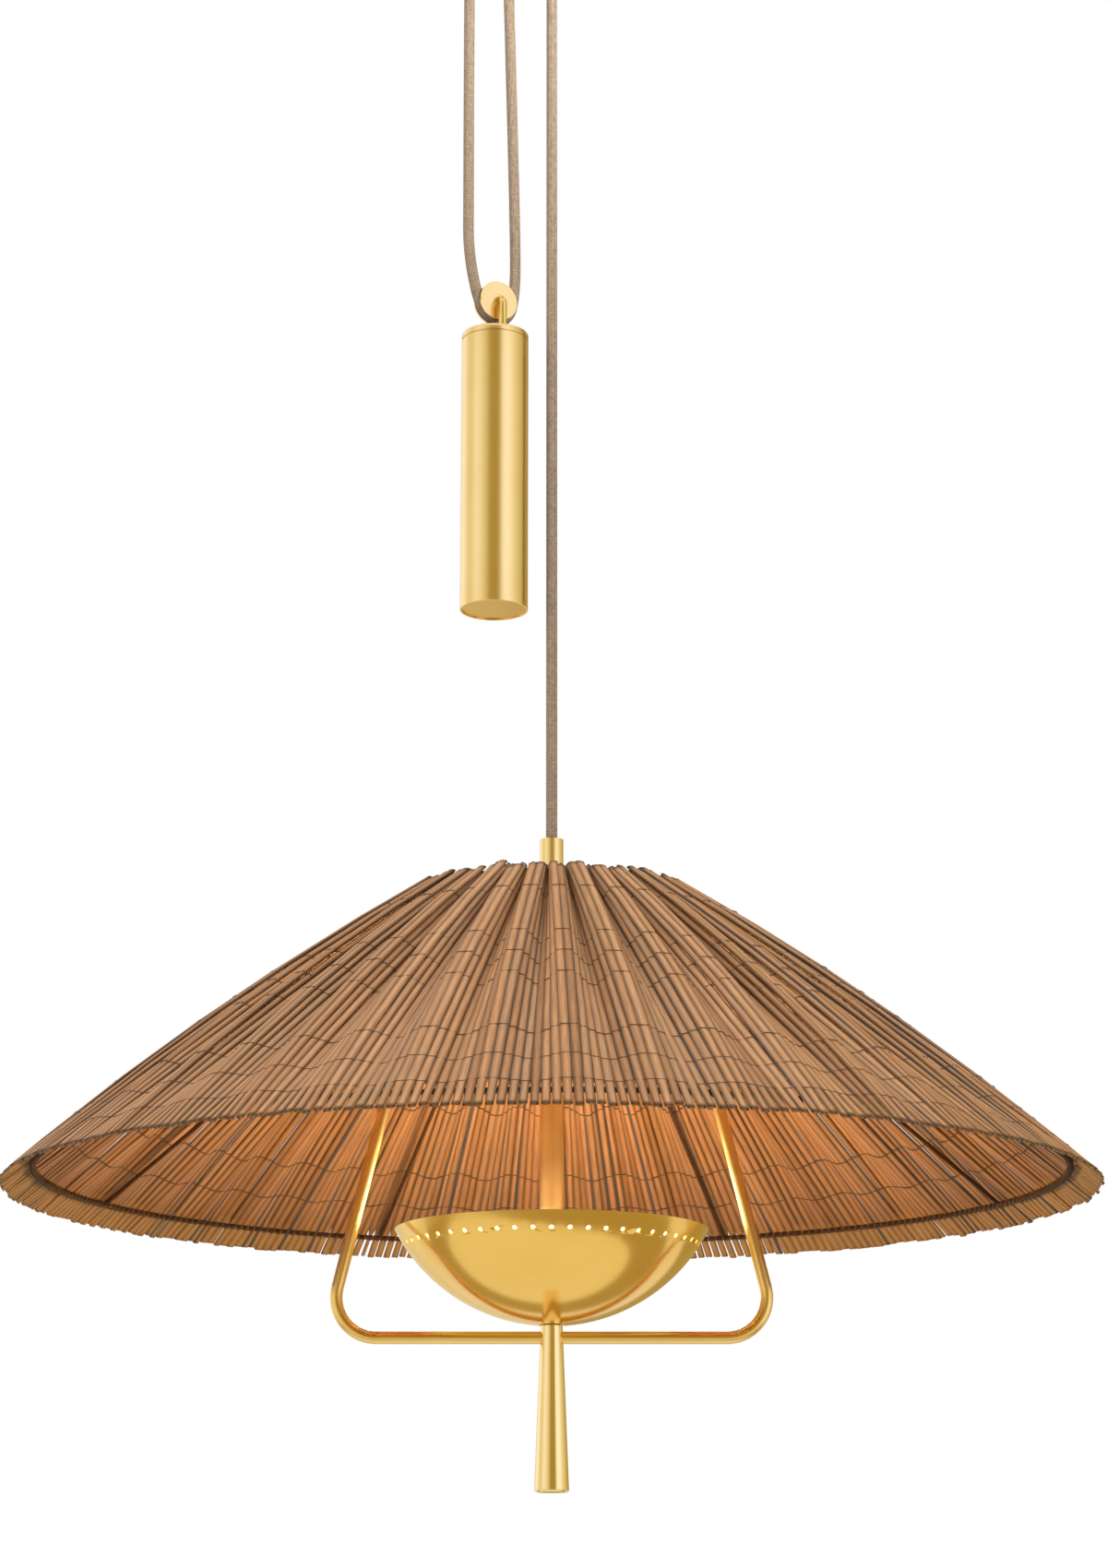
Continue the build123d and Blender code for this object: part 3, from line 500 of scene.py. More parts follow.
weight_route = [
    anchor,
    Vector((-0.0316, -0.0107, -0.1600)),
    Vector((-0.0312, -0.0107, -0.2700)),
    beside_wheel(-0.0229, 0.034),
    beside_wheel(-0.0108, -wheel_pitch),
    beside_wheel(0.0114, -wheel_pitch),
    beside_wheel(0.0170, 0.014),
    beside_wheel(0.0166, 0.060),
    Vector((0.0010, 0.0042, -0.1800)),
    Vector((return_x, 0, -0.0580)),
    Vector((return_x, 0, top_axis_z - top_pitch)),
    Vector((return_x, 0, top_axis_z + top_pitch)),
    Vector((lamp_x, 0, top_axis_z + top_pitch)),
    Vector((lamp_x, 0, top_axis_z - 0.004)),
]
weight_line = route_line("weight_cord", weight_route)
weight_cord, weight_run = cloth_tube("weight_cord_cloth", weight_line, cord_radius)
weight_cord.data.materials.append(cord_cloth)
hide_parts("weight_cord", "wheel_cord")
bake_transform(weight_cord)
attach(weight_cord, "ceiling")

collar_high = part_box("cord_collar")[1]
cord_sunk = 0.014
cord_end = collar_high.z - cord_sunk
lamp_route = [
    Vector((lamp_x, 0, top_axis_z - 0.004)),
    Vector((lamp_x, 0, (top_axis_z + cord_end) / 2)),
    Vector((lamp_x, 0, cord_end)),
]
lamp_line = route_line("lamp_cord", lamp_route)
lamp_cord, lamp_run = cloth_tube("lamp_cord_cloth", lamp_line, cord_radius)
lamp_cord.data.materials.append(cord_cloth)
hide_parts("lamp_cord")
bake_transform(lamp_cord)
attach(lamp_cord, "ceiling")


# Counterweight: drawn brass tube with a screwed cap and a steel core, hung by a bent rod that is
# also the axle of its grooved wheel.
weld = 0.000005


def turn_up(name, centre, outline, steps=96, edge=0.0, angle=35):
    """Turn a piece on the lathe: an outline of (radius, height) spun round an upright axis."""
    bpy.ops.object.select_all(action="DESELECT")
    first = Vector((centre[0] + outline[0][0], centre[1], outline[0][1]))
    bpy.ops.mesh.primitive_plane_add(size=0.001)
    piece = bpy.context.object
    piece.name = name
    bpy.ops.object.mode_set(mode="EDIT")
    bpy.ops.mesh.select_mode(type="VERT")
    bpy.ops.mesh.select_all(action="SELECT")
    bpy.ops.mesh.merge(type="CENTER")
    bpy.ops.transform.translate(value=first)
    for (r0, z0), (r1, z1) in zip(outline, outline[1:]):
        bpy.ops.mesh.extrude_region_move(TRANSFORM_OT_translate={"value": (r1 - r0, 0, z1 - z0)})
    bpy.ops.mesh.select_all(action="SELECT")
    bpy.ops.mesh.spin(steps=steps, angle=2 * math.pi, center=(centre[0], centre[1], 0), axis=(0, 0, 1))
    bpy.ops.mesh.select_all(action="SELECT")
    bpy.ops.mesh.remove_doubles(threshold=weld)
    bpy.ops.mesh.normals_make_consistent(inside=False)
    bpy.ops.object.mode_set(mode="OBJECT")
    if edge:
        softened = piece.modifiers.new("softened_edges", "BEVEL")
        softened.width = edge
        softened.segments = 2
        softened.limit_method = "ANGLE"
        softened.angle_limit = math.radians(30)
        bpy.ops.object.modifier_apply(modifier=softened.name)
    bpy.ops.object.shade_smooth_by_angle(angle=math.radians(angle))
    if edge:
        straight = piece.modifiers.new("straight_shading", "WEIGHTED_NORMAL")
        straight.weight = 100
        straight.keep_sharp = True
        bpy.ops.object.modifier_apply(modifier=straight.name)
    return piece


tube_brass = brass("drawn_brass", (700, 700, 5), 0.21, 0.27, 0.005)
tube_low, tube_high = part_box("weight_tube")
cap_low, cap_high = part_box("weight_cap")
weight_r = (tube_high.x - tube_low.x) / 2
weight_axis = ((tube_low.x + tube_high.x) / 2, 0)
tube_wall = 0.0015
tube_bore = weight_r - tube_wall
seam_deep = 0.0011
seam_high = 0.0006
seam_r = weight_r - seam_deep
seam_z = tube_high.z - seam_high
weight_tube = turn_up("weight_tube_drawn", weight_axis, (
    (tube_bore, tube_high.z), (seam_r, tube_high.z), (seam_r, seam_z), (weight_r, seam_z),
    (weight_r, tube_low.z), (tube_bore, tube_low.z), (tube_bore, tube_high.z),
), edge=0.0002)
weight_tube.data.materials.append(tube_brass)
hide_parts("weight_tube")
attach(weight_tube, "weight")

cap_edge = 0.0014
cap_gap = 0.00005
cap_ease = 0.0001
cap_seat = tube_high.z + cap_gap
weight_cap = turn_up("weight_cap_turned", weight_axis, (
    (0, cap_high.z), (weight_r - cap_edge, cap_high.z),
    (weight_r - 0.4 * cap_edge, cap_high.z - 0.3 * cap_edge), (weight_r, cap_high.z - cap_edge),
    (weight_r, cap_seat), (tube_bore, cap_seat), (tube_bore - cap_ease, cap_low.z), (0, cap_low.z),
))
weight_cap.data.materials.append(tube_brass)
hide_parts("weight_cap")
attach(weight_cap, "weight")


def smooth_copy(node, name, material, angle=35):
    """A welded, smoothly shaded copy of a CAD node, which takes its place."""
    mesh = nodes[node].data.copy()
    piece = bpy.data.objects.new(name, mesh)
    scene.collection.objects.link(piece)
    bpy.ops.object.select_all(action="DESELECT")
    piece.select_set(True)
    bpy.context.view_layer.objects.active = piece
    bpy.ops.object.mode_set(mode="EDIT")
    bpy.ops.mesh.select_all(action="SELECT")
    bpy.ops.mesh.remove_doubles(threshold=weld)
    bpy.ops.object.mode_set(mode="OBJECT")
    bpy.ops.object.shade_smooth_by_angle(angle=math.radians(angle))
    mesh.materials.clear()
    mesh.materials.append(material)
    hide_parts(node)
    return piece


bent_brass = brass("bent_brass", (60, 60, 60), 0.27, 0.32, 0.0,
                   bright=(0.93, 0.66, 0.24, 1), deep=(0.85, 0.57, 0.17, 1))
bail = smooth_copy("weight_bail", "weight_bail_bent", bent_brass, angle=50)
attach(bail, "weight")

base_brass = brass("base_brass", (5, 5, 900), 0.20, 0.26, 0.004,
                   bright=(0.74, 0.47, 0.10, 1), deep=(0.68, 0.42, 0.08, 1))
dress(tube_brass, "weight_wheel")
dress(base_brass, "weight_base")
dress(spun_brass, "weight_wheel_bush", "axle_cap")
dress(steel, "weight_core", "bail_nut")


# Collar and stem: the turned collar grips the cord and screws into the brass stem, which carries
# the shade's spider, the lampholders and the bowl.
stem_brass = brass("stem_brass", (60, 60, 60), 0.34, 0.40, 0.0)
dress(tube_brass, "cord_collar")
dress(stem_brass, "stem")
dress(plastic, "cord_grip")
dress(steel, "stem_plug")
dress(spun_brass, "spider_hub")
dress(steel, "hub_screws", "arm_screws")


# Wire frame of the shade: blackened steel spider bars and top ring, which the stem's hub holds, and
# dark cane ribs inside the slats.
wire = mottled("blackened_wire", 140.0, 5.0, (0.020, 0.012, 0.008, 1), (0.110, 0.055, 0.026, 1), {
    "Roughness": 0.55,
})
cane = mottled("dark_cane", 90.0, 6.0, (0.036, 0.017, 0.007, 1), (0.115, 0.055, 0.024, 1), {
    "Roughness": 0.6, "Specular IOR Level": 0.08,
})
dress(wire, "spider_bars", "top_ring")
dress(cane, "shade_ribs")


# Slats: split wooden sticks with rounded backs, gathered in deep folds at the top and spread evenly
# at the rim. Each is a little different in width, tone, length and the height of its top end.
rim_z = -1.022
rim_r = 0.381
top_r = 0.100
shade_high = 0.215
slat_w = 0.0047
slat_proud = 0.0006
slat_thick = 0.0020
slat_round = 0.00098
slat_crown = 0.0003
pleats = 45
half_pleat = math.pi / pleats
slats_in_pleat = 8
slat_angle = 2 * half_pleat / slats_in_pleat
fold_out = (0.34, 0.60, 0.77, 0.90)
fold_drop = (0.0, 0.0026, 0.0058, 0.0086)
fold_turn = (6, 40, 56, 34)
fold_bow = (0.0079, 0.0062, 0.0042, 0.0022)
fold_loose = (0.05, 0.08, 0.06, 0.02)
top_reach = (0.0, 0.003, 0.006, 0.009)
snug_top = (0.28, 0.10, 0.10, 0.10)
snug_middle = (0.0, 0.0, 0.0, 0.13)
shade_normal = Vector((shade_high, 0, rim_r - top_r)).normalized()
hoop_cut = 0.915
cuts = (0.18, 0.36, 0.54, 0.72, hoop_cut, 0.94)
fringe_from = 0.93
top_width = 0.94
width_swell = 0.45
fringe_width = 1.42
gap_width = 0.31
front_from = 0.35
front_over = 0.40
back_from = 0.84
back_over = 0.08
narrow_share = 0.04
narrow_gap = 2.6
open_share = 0.10
open_gap = 1.0
# Painted dark slits: the share of slats that get one, and how much of it shows outside.
slit_shade_share = 0.24
slit_shade_outside = 0.22
chance = random.Random(11)

bpy.ops.object.select_all(action="DESELECT")
bpy.ops.mesh.primitive_cube_add(size=1, location=(0, 0.5, -0.5))
model_slat = bpy.context.object
bpy.ops.object.transform_apply(location=True, rotation=False, scale=False)
bpy.ops.object.mode_set(mode="EDIT")
bpy.ops.mesh.select_all(action="SELECT")
bpy.ops.transform.resize(value=(slat_w, 1, slat_thick), center_override=(0, 0, 0))
bpy.ops.transform.translate(value=(0, 0, slat_proud))
bpy.ops.mesh.select_all(action="DESELECT")
bpy.ops.mesh.select_mode(type="EDGE")
stick = bmesh.from_edit_mesh(model_slat.data)
for edge in stick.edges:
    a, b = edge.verts
    edge.select_set(abs(a.co.y - b.co.y) > 0.5)
bmesh.update_edit_mesh(model_slat.data)
bpy.ops.mesh.bevel(offset=slat_round, segments=3, affect="EDGES")
bpy.ops.mesh.select_all(action="SELECT")
bpy.ops.mesh.bisect(plane_co=(0, 0, 0), plane_no=(1, 0, 0))
stick = bmesh.from_edit_mesh(model_slat.data)
for v in stick.verts:
    v.select_set(abs(v.co.x) < 0.0001 and v.co.z > 0)
stick.select_flush(True)
bmesh.update_edit_mesh(model_slat.data)
bpy.ops.transform.translate(value=(0, 0, slat_crown))
for cut in cuts:
    bpy.ops.mesh.select_all(action="SELECT")
    bpy.ops.mesh.bisect(plane_co=(0, cut, 0), plane_no=(0, 1, 0))
bpy.ops.object.mode_set(mode="OBJECT")
bpy.ops.object.shade_smooth_by_angle(angle=math.radians(50))
slat_uv = model_slat.data.uv_layers[0]
slat_uv.name = "grain"
for loop in model_slat.data.loops:
    at = model_slat.data.vertices[loop.vertex_index].co
    slat_uv.data[loop.index].uv = (at.x / slat_w + 0.5, at.y)
model_points = [v.co.copy() for v in model_slat.data.vertices]


def around_lamp(radius, angle, height):
    """Point at a radius, an angle and a height above the rim, about the lamp's axis."""
    return Vector((lamp_x + radius * math.cos(angle), radius * math.sin(angle), rim_z + height))


ridge_turn = [2 * half_pleat * p + chance.uniform(-0.016, 0.016) for p in range(pleats)]
fold_scale = [chance.uniform(0.86, 1.10) for p in range(pleats)]
pleat_rise = [chance.uniform(-0.003, 0.003) for p in range(pleats)]
fold_shift = []
for loose in fold_loose:
    fold_shift.append({side: [chance.uniform(-loose, loose) for p in range(pleats)] for side in (-1, 1)})
valley_turn = []
for p in range(pleats):
    ahead = ridge_turn[(p + 1) % pleats] + (2 * math.pi if p == pleats - 1 else 0)
    valley_turn.append((ridge_turn[p] + ahead) / 2 + chance.uniform(-0.008, 0.008))


def slat_line(layer, side, p):
    """Upper and lower end of a slat's outer face, before its own small unevenness."""
    depth = fold_drop[layer] * fold_scale[p]
    radius = top_r - depth * shade_normal.x
    valley = valley_turn[p] if side > 0 else valley_turn[p - 1] - (2 * math.pi if p == 0 else 0)
    out = abs(valley - ridge_turn[p]) * (fold_out[layer] + fold_shift[layer][side][p])
    top = around_lamp(radius, ridge_turn[p] + side * out, shade_high - depth * shade_normal.z)
    low = around_lamp(rim_r, 2 * half_pleat * p + side * (layer + 0.5) * slat_angle, 0)
    return top, low


def slat_section(top, low, layer, side, t):
    """Middle of a slat's outer face at t of its length, with its directions across and outward."""
    along = (low - top).normalized()
    level = Vector((0, 0, 1)).cross(along).normalized()
    outward = along.cross(level)
    middle = top.lerp(low, t) + outward * fold_bow[layer] * 4 * t * (1 - t)
    turn = math.radians(fold_turn[layer]) * (1 - t) * side
    across = level * math.cos(turn) - outward * math.sin(turn)
    return middle, across, outward * math.cos(turn) + level * math.sin(turn)


def slat_width(t, layer, gap=0.0):
    """Share of the model slat's width: it swells to the hoop, and below it is narrowed by the gap."""
    if t > fringe_from:
        return fringe_width - gap_width * gap
    snug = snug_top[layer] * (1 - t) + snug_middle[layer] * math.sin(math.pi * t)
    return top_width + width_swell * t / hoop_cut + snug


def fringe_gap(turned_to_back):
    """Gap beside a slat's lower end: open at the front and the back, with a few slats astray."""
    stray = chance.random()
    if stray < narrow_share:
        return narrow_gap
    if stray < open_share:
        return open_gap
    front_gap = min(1.0, max(0.0, (-turned_to_back - front_from) / front_over))
    back_gap = min(1.0, max(0.0, (turned_to_back - back_from) / back_over))
    return max(front_gap, back_gap)


def make_slat(name, layer, side, p):
    """One slat: a copy of the model laid along its line, with its own unevenness and marks."""
    top, low = slat_line(layer, side, p)
    along = (low - top).normalized()
    top = top - along * (top_reach[layer] + pleat_rise[p] + chance.uniform(-0.0045, 0.0035))
    low = low + along * chance.uniform(-0.0022, 0.0006)
    wide = chance.uniform(1.02, 1.09) if layer == 0 else chance.uniform(0.985, 1.07)
    proud = chance.uniform(-0.0004, 0.0004)
    astray = chance.uniform(-0.0002, 0.0002)
    sway = chance.uniform(-0.0003, 0.0003) * (0.4 if layer == 0 else 1.0)
    gap = fringe_gap(low.y / rim_r)
    # One slat in four gets a painted dark slit along one edge, for the shade in the gap beside it.
    slit_shade_side = chance.choice((-1, 1)) if chance.random() < slit_shade_share else 0
    shade = chance.random()
    mesh = model_slat.data.copy()
    for v, model in zip(mesh.vertices, model_points):
        t = model.y
        middle, across, outward = slat_section(top, low, layer, side, t)
        aside = astray + sway * math.sin(math.pi * t)
        half = model.x * wide * slat_width(t, layer, gap)
        v.co = middle + across * (half + aside) + outward * (model.z + proud)
    marks = {
        "tone": [shade] * len(model_points),
        "dark_slit": [slit_shade_side * (1.0 if v.z < 0 else slit_shade_outside) for v in model_points],
        # Painted light: inner faces below the hoop are marked to turn golden, as if lit by the bulbs.
        "painted_light": [float(v.z < 0 and v.y > fringe_from) for v in model_points],
    }
    for mark_name, values in marks.items():
        mesh.attributes.new(mark_name, "FLOAT", "POINT").data.foreach_set("value", values)
    piece = bpy.data.objects.new(name, mesh)
    scene.collection.objects.link(piece)
    return piece


layer_names = ("ridge_slats", "outer_fold_slats", "inner_fold_slats", "valley_slats")
slat_objects = []
for layer, layer_name in enumerate(layer_names):
    bpy.ops.object.select_all(action="DESELECT")
    made = [make_slat(layer_name + "_wood", layer, side, p) for p in range(pleats) for side in (-1, 1)]
    for piece in made:
        piece.select_set(True)
    bpy.context.view_layer.objects.active = made[0]
    bpy.ops.object.join()
    joined = bpy.context.object
    joined.name = layer_name + "_wood"
    bpy.ops.object.mode_set(mode="EDIT")
    bpy.ops.mesh.select_all(action="SELECT")
    bpy.ops.mesh.normals_make_consistent(inside=False)
    bpy.ops.object.mode_set(mode="OBJECT")
    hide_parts(layer_name)
    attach(joined, "lamp")
    slat_objects.append(joined)
bpy.data.objects.remove(model_slat)


def slat_mark(tree, name):
    """Value that each slat carries on its mesh."""
    attribute = tree.nodes.new("ShaderNodeAttribute")
    attribute.attribute_name = name
    return attribute.outputs["Fac"]


slat_wood, wood_tree, wood_shader = new_material("slat_wood", {"Roughness": 0.56, "Specular IOR Level": 0.18})
grain_map = wood_tree.nodes.new("ShaderNodeUVMap")
grain_map.uv_map = "grain"
across_slat, along_slat = parts_of(wood_tree, grain_map.outputs["UV"])[:2]
own_tone = slat_mark(wood_tree, "tone")
lit_fringe_mark = slat_mark(wood_tree, "painted_light")
slit_shade_mark = slat_mark(wood_tree, "dark_slit")

grain_place = wood_tree.nodes.new("ShaderNodeCombineXYZ")
for axis, value, times in (("X", across_slat, 8.0), ("Y", along_slat, 9.0), ("Z", own_tone, 37.0)):
    wood_tree.links.new(figure(wood_tree, "MULTIPLY", value, times), grain_place.inputs[axis])
fibre = noise(wood_tree, grain_place.outputs["Vector"], 1.6, detail=6.0, roughness=0.65)
fibre_shade = spread(wood_tree, fibre, 0.3, 0.7, 0.58, 1.22)

# Painted shade: slats darken towards their long edges, for the shade on rounded backs and in gaps.
from_middle = figure(wood_tree, "SUBTRACT", across_slat, 0.5)
edge_distance = figure(wood_tree, "ABSOLUTE", from_middle)
# How dark the painted edge shade goes differs from slat to slat.
edge_share = figure(wood_tree, "FRACT", figure(wood_tree, "MULTIPLY", own_tone, 5.7))
own_edge = spread(wood_tree, edge_share, 0, 1, 0.24, 0.62)
# On those lit lower inner faces the painted edge shade is lighter.
lit_fringe_edge = spread(wood_tree, lit_fringe_mark, 0, 1, own_edge, 0.62)
painted_edge_shade = spread(wood_tree, edge_distance, 0.05, 0.50, 1.0, lit_fringe_edge, smooth=True)

top_end_shade = spread(wood_tree, along_slat, 0.0005, 0.020, 0.32, 1.0, smooth=True)
lit_fringe_tip = spread(wood_tree, lit_fringe_mark, 0, 1, 0.42, 0.85)
tip_shade = spread(wood_tree, along_slat, 0.991, 0.997, 1.0, lit_fringe_tip)
all_shade = fibre_shade
for shade in (painted_edge_shade, tip_shade, top_end_shade):
    all_shade = figure(wood_tree, "MULTIPLY", all_shade, shade)

slat_colour = shades(
    wood_tree, own_tone, (0.0, (0.376, 0.178, 0.072, 1)), (0.25, (0.475, 0.234, 0.098, 1)),
    (0.50, (0.466, 0.250, 0.124, 1)), (0.75, (0.528, 0.256, 0.106, 1)), (1.0, (0.577, 0.299, 0.138, 1)),
)
# Painted light: inner faces below the hoop go golden, standing in for the bulbs' light on them.
lit_fringe_share = figure(wood_tree, "MULTIPLY", lit_fringe_mark, 0.8)
lit_fringe_tone = mixed(wood_tree, lit_fringe_share, slat_colour, (0.62, 0.345, 0.120, 1))
slat_shaded = wood_tree.nodes.new("ShaderNodeVectorMath")
slat_shaded.operation = "SCALE"
wood_tree.links.new(lit_fringe_tone, slat_shaded.inputs[0])
wood_tree.links.new(all_shade, slat_shaded.inputs["Scale"])
# Painted shade: one long edge of some slats goes dark slate, mostly inside, like a shaded slit.
slit_shade_from = figure(wood_tree, "MULTIPLY", from_middle, slit_shade_mark)
painted_slit_shade = spread(wood_tree, slit_shade_from, 0.06, 0.16, 0.0, 0.85, smooth=True)
wood_colour = mixed(wood_tree, painted_slit_shade, slat_shaded.outputs["Vector"], (0.068, 0.070, 0.078, 1))
wood_tree.links.new(wood_colour, wood_shader.inputs["Base Color"])
emboss(wood_tree, wood_shader, fibre, 0.35, 0.0003)
for piece in slat_objects:
    piece.data.materials.clear()
    piece.data.materials.append(slat_wood)


# Bottom hoop: a round cane bent inside the slats, just above their lower ends. Its upper half is
# painted dark as shade, with a wavering edge; the lower half keeps the cane's own tone. The lowest
# thread lashes it to the slats.
hoop_low, hoop_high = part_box("bottom_hoop")
hoop_z = (hoop_low.z + hoop_high.z) / 2
hoop_half = 0.0029
hoop_r = hoop_high.x - lamp_x - hoop_half
hoop_cane_r = 0.0018
hoop_line = []
for k in range(13):
    a = 2 * math.pi * k / 12
    hoop_line.append((hoop_r + hoop_cane_r * math.cos(a), hoop_z + hoop_cane_r * math.sin(a)))
hoop = turn_up("bottom_hoop_cane", (lamp_x, 0), hoop_line, steps=180, angle=60)
hoop_cane_painted_shade, hoop_cane_tree, hoop_cane_shader = new_material("hoop_cane_painted_shade", {
    "Roughness": 0.6, "Specular IOR Level": 0.08,
})
hoop_cane_place = own_place(hoop_cane_tree)
hoop_cane_fibre = noise(hoop_cane_tree, hoop_cane_place, 120.0, detail=5.0)
# Painted shade: the hoop goes dark above a wavering line a little below its middle.
shade_line_waver = 0.0008
shade_line_starts = hoop_z - 0.0022
shade_line_full = hoop_z - 0.0007
hoop_height = parts_of(hoop_cane_tree, hoop_cane_place)[2]
hoop_shade_line = figure(hoop_cane_tree, "MULTIPLY_ADD", hoop_cane_fibre, shade_line_waver, hoop_height)
hoop_shade_share = spread(hoop_cane_tree, hoop_shade_line, shade_line_starts, shade_line_full)
hoop_painted_shade = shades(hoop_cane_tree, hoop_shade_share, (0, (0.40, 0.215, 0.075, 1)), (1, (0.052, 0.024, 0.010, 1)))
hoop_cane_tree.links.new(hoop_painted_shade, hoop_cane_shader.inputs["Base Color"])
hoop.data.materials.append(hoop_cane_painted_shade)
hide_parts("bottom_hoop")
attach(hoop, "lamp")


# Threads: seven rows of dark waxed thread, woven over and under the slats to tie them together.
# Each row is an outer and an inner thread. In the lowest row the inner one is wound round the hoop.
thread_rows = (0.136, 0.358, 0.450, 0.538, 0.741, 0.839, 0.922)
thread_r = 0.00032
thread_sunk = 0.6
thread_reach = 0.36
thin_from = 0.8
outer_thick = 1.0
thin_thick = 0.65
inner_thick = 1.7
lash_thick = 1.9
lash_gap = 0.0003
slat_order = [(layer, -1) for layer in (3, 2, 1, 0)] + [(layer, 1) for layer in (0, 1, 2, 3)]


def thread_points(t, inside):
    """Closed line over the outer or inner faces of all slats at one height."""
    points = []
    for p in range(pleats):
        for layer, side in slat_order:
            top, low = slat_line(layer, side, p)
            middle, across, outward = slat_section(top, low, layer, side, t)
            rise = slat_proud - slat_thick - thread_r if inside else slat_proud + thread_r * thread_sunk
            for end in (-1, 1):
                aside = across * end * slat_w * slat_width(t, layer) * thread_reach
                points.append(middle + aside + outward * rise)
    return points


def lashing_points():
    """Closed line wound round the hoop, one turn for each slat."""
    points = []
    lash_r = hoop_cane_r + lash_gap
    steps = 6
    for k in range(slats_in_pleat * pleats * steps):
        wind = 2 * math.pi * k / steps
        angle = slat_angle * k / steps
        height = hoop_z - rim_z + lash_r * math.sin(wind)
        points.append(around_lamp(hoop_r + lash_r * math.cos(wind), angle, height))
    return points


thread_curve = bpy.data.curves.new("shade_threads", "CURVE")
thread_curve.dimensions = "3D"
thread_curve.bevel_depth = thread_r
thread_curve.bevel_resolution = 0
thread_lines = [(thread_points(t, False), outer_thick if t < thin_from else thin_thick) for t in thread_rows]
thread_lines += [(thread_points(t, True), inner_thick) for t in thread_rows[:-1]]
thread_lines.append((lashing_points(), lash_thick))
for line, thickness in thread_lines:
    spline = thread_curve.splines.new("POLY")
    spline.points.add(len(line) - 1)
    for point, place in zip(spline.points, line):
        point.co = (*place, 1)
        point.radius = thickness
    spline.use_cyclic_u = True
threads = bpy.data.objects.new("shade_threads", thread_curve)
scene.collection.objects.link(threads)
bpy.ops.object.select_all(action="DESELECT")
threads.select_set(True)
bpy.context.view_layer.objects.active = threads
bpy.ops.object.convert(target="MESH")
threads = bpy.context.object
threads.data.materials.append(mottled(
    "waxed_thread", 700.0, 2.0, (0.065, 0.036, 0.022, 1), (0.175, 0.104, 0.064, 1), {"Roughness": 0.8},
))
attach(threads, "lamp")


# Bowl: spun brass reflector, enamelled white inside, with a row of small holes under its rim. It is
# bolted under the stem, and a strip of opal glass lies behind the holes. The enamel and the glass
# glow with painted light, standing in for the bulbs' light falling on them.
bowl_brass = brass("bowl_brass", (5, 5, 900), 0.145, 0.185, 0.003,
                   bright=(0.93, 0.60, 0.15, 1), deep=(0.86, 0.53, 0.11, 1))
# Painted light: the white enamel glows a little, for the bulbs' light on the inside of the bowl.
enamel_glow = mottled("white_enamel_painted_glow", 60.0, 2.0, (0.80, 0.74, 0.60, 1), (0.90, 0.86, 0.74, 1), {
    "Emission Strength": 0.9, "Roughness": 0.35,
})
bowl = smooth_copy("bowl", "bowl_spun", bowl_brass)
bowl.data.materials.append(enamel_glow)
enamel_lean = 0.02
bowl_drop = -0.030
for face in bowl.data.polygons:
    outwards = Vector((face.center.x - lamp_x, face.center.y, bowl_drop))
    if face.normal.dot(outwards) < -enamel_lean and face.normal.z > enamel_lean:
        face.material_index = 1
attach(bowl, "lamp")
dress(steel, "bowl_washer", "handle_stud")

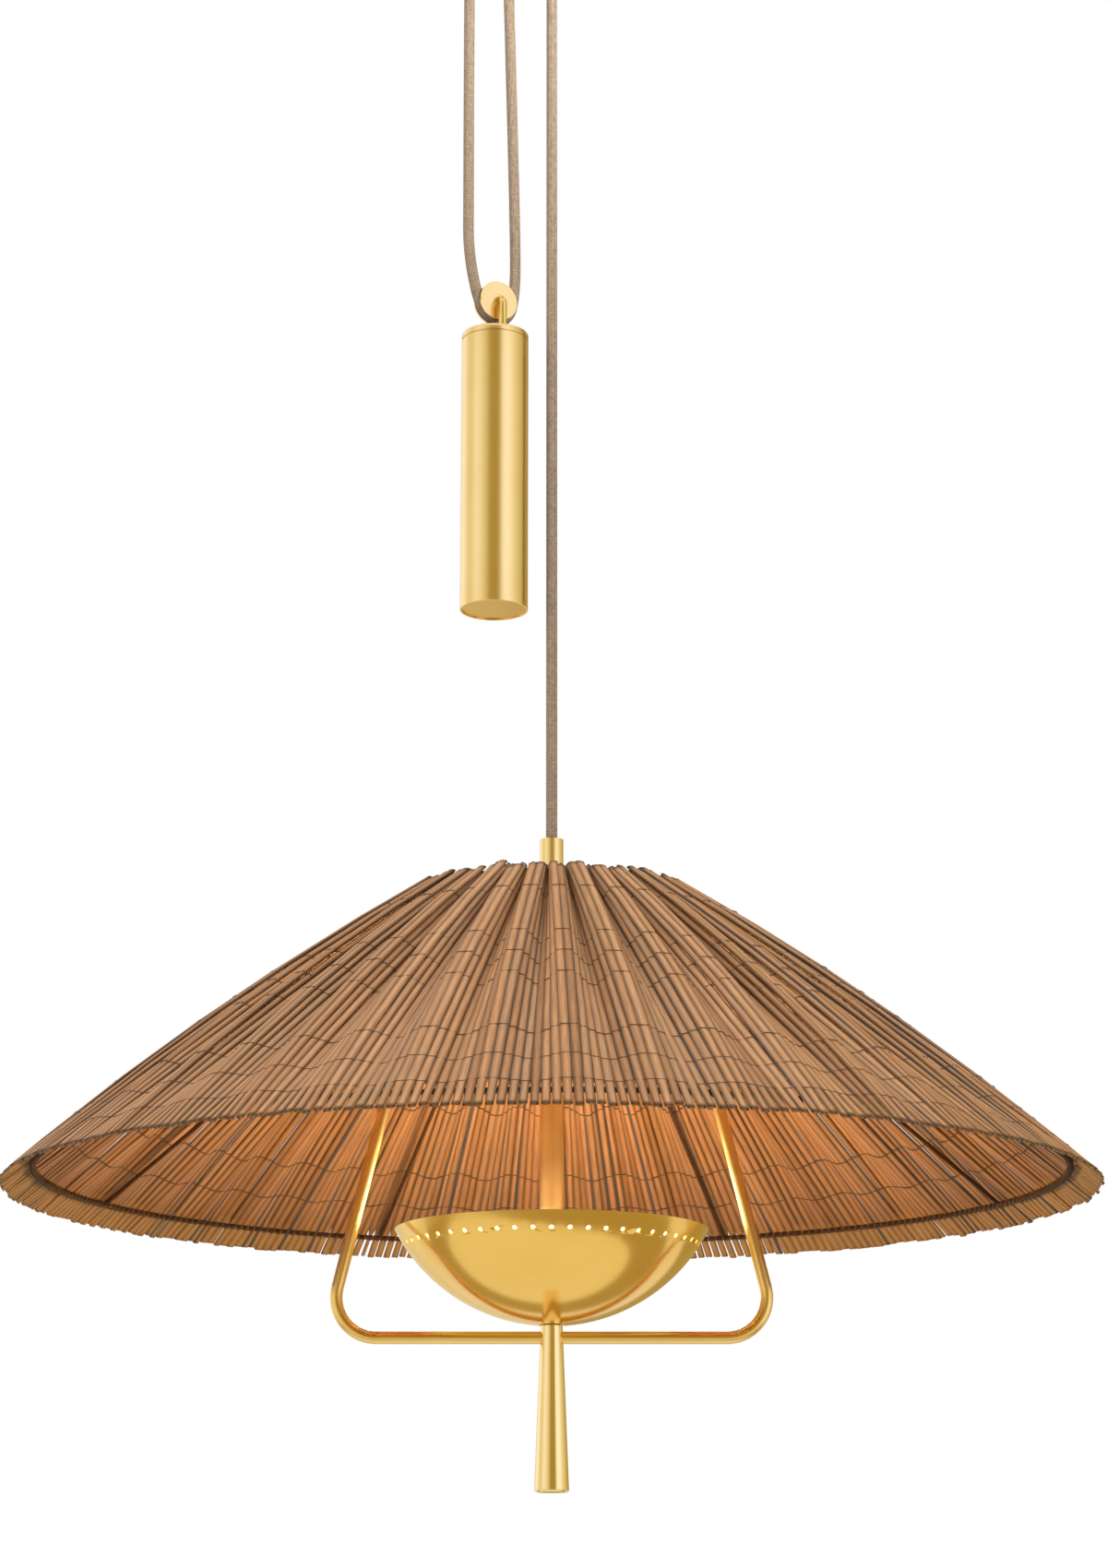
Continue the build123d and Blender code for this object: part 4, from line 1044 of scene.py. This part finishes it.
# Painted light: the opal strip glows, standing in for the bulbs' light shining through to the holes.
liner_glow = mottled("opal_liner_painted_glow", 80.0, 2.0, (1.0, 0.80, 0.50, 1), (1.0, 0.92, 0.72, 1), {
    "Emission Strength": 1.3, "Roughness": 0.5,
})
bowl_low, bowl_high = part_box("bowl")
bowl_rim = (bowl_high.x - bowl_low.x) / 2
bowl_deep = bowl_high.z - bowl_low.z
bowl_ball = (bowl_rim ** 2 + bowl_deep ** 2) / (2 * bowl_deep)
ball_z = bowl_low.z + bowl_ball
liner_down = (0.0065, 0.0110, 0.0155)
liner_line = []
for inset, downs in ((0.0018, liner_down), (0.0026, liner_down[::-1])):
    for down in downs:
        height = bowl_high.z - down
        liner_line.append((math.sqrt((bowl_ball - inset) ** 2 - (ball_z - height) ** 2), height))
liner_line.append(liner_line[0])
liner = turn_up("hole_liner", (lamp_x, 0), liner_line, steps=104, angle=60)
liner.data.materials.append(liner_glow)
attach(liner, "lamp")


# Stirrup and pull handle: two bent brass tubes that hang from the spider and are brazed into the
# tapered handle, which is turned from brass and polished.
handle_brass = brass("handle_brass", (700, 700, 5), 0.07, 0.10, 0.001,
                     bright=(0.98, 0.75, 0.37, 1), deep=(0.93, 0.68, 0.29, 1))
dress(bent_brass, "left_arm", "right_arm", "arm_ferrules")
handle_low, handle_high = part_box("pull_handle")
handle_neck = 0.0076
handle_foot = (handle_high.x - handle_low.x) / 2
handle_edge = 0.0012
handle = turn_up("pull_handle_turned", (lamp_x, 0), (
    (0, handle_high.z), (handle_neck, handle_high.z), (handle_foot, handle_low.z + handle_edge),
    (handle_foot - handle_edge, handle_low.z), (0, handle_low.z),
), steps=64, edge=0.0005)
handle.data.materials.append(handle_brass)
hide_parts("pull_handle")
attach(handle, "lamp")


# Lampholders: three small plastic sockets on a steel plate inside the bowl, with frosted capsule
# bulbs that are lit. A point of light above each bulb throws its glow on the shade.
bulb_glass = mottled("lit_bulb", 160.0, 2.0, (1.0, 0.72, 0.38, 1), (1.0, 0.88, 0.62, 1), {
    "Emission Strength": 22.0, "Roughness": 0.4,
})
dress(plastic, "socket_1", "socket_2", "socket_3")
dress(steel, "plate_collar", "socket_plate")
glow_above = 0.006
for number in (1, 2, 3):
    name = "bulb_" + str(number)
    dress(bulb_glass, name)
    nodes[name].visible_shadow = False
    low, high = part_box(name)
    glow = bpy.data.lights.new("glow_" + str(number), "POINT")
    glow.energy = 1.28
    glow.color = (1.0, 0.70, 0.40)
    glow.shadow_soft_size = 0.016
    glow_object = bpy.data.objects.new("glow_" + str(number), glow)
    glow_object.location = ((low.x + high.x) / 2, (low.y + high.y) / 2, high.z + glow_above)
    scene.collection.objects.link(glow_object)
    glow_object.visible_glossy = number == 1
    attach(glow_object, "lamp")
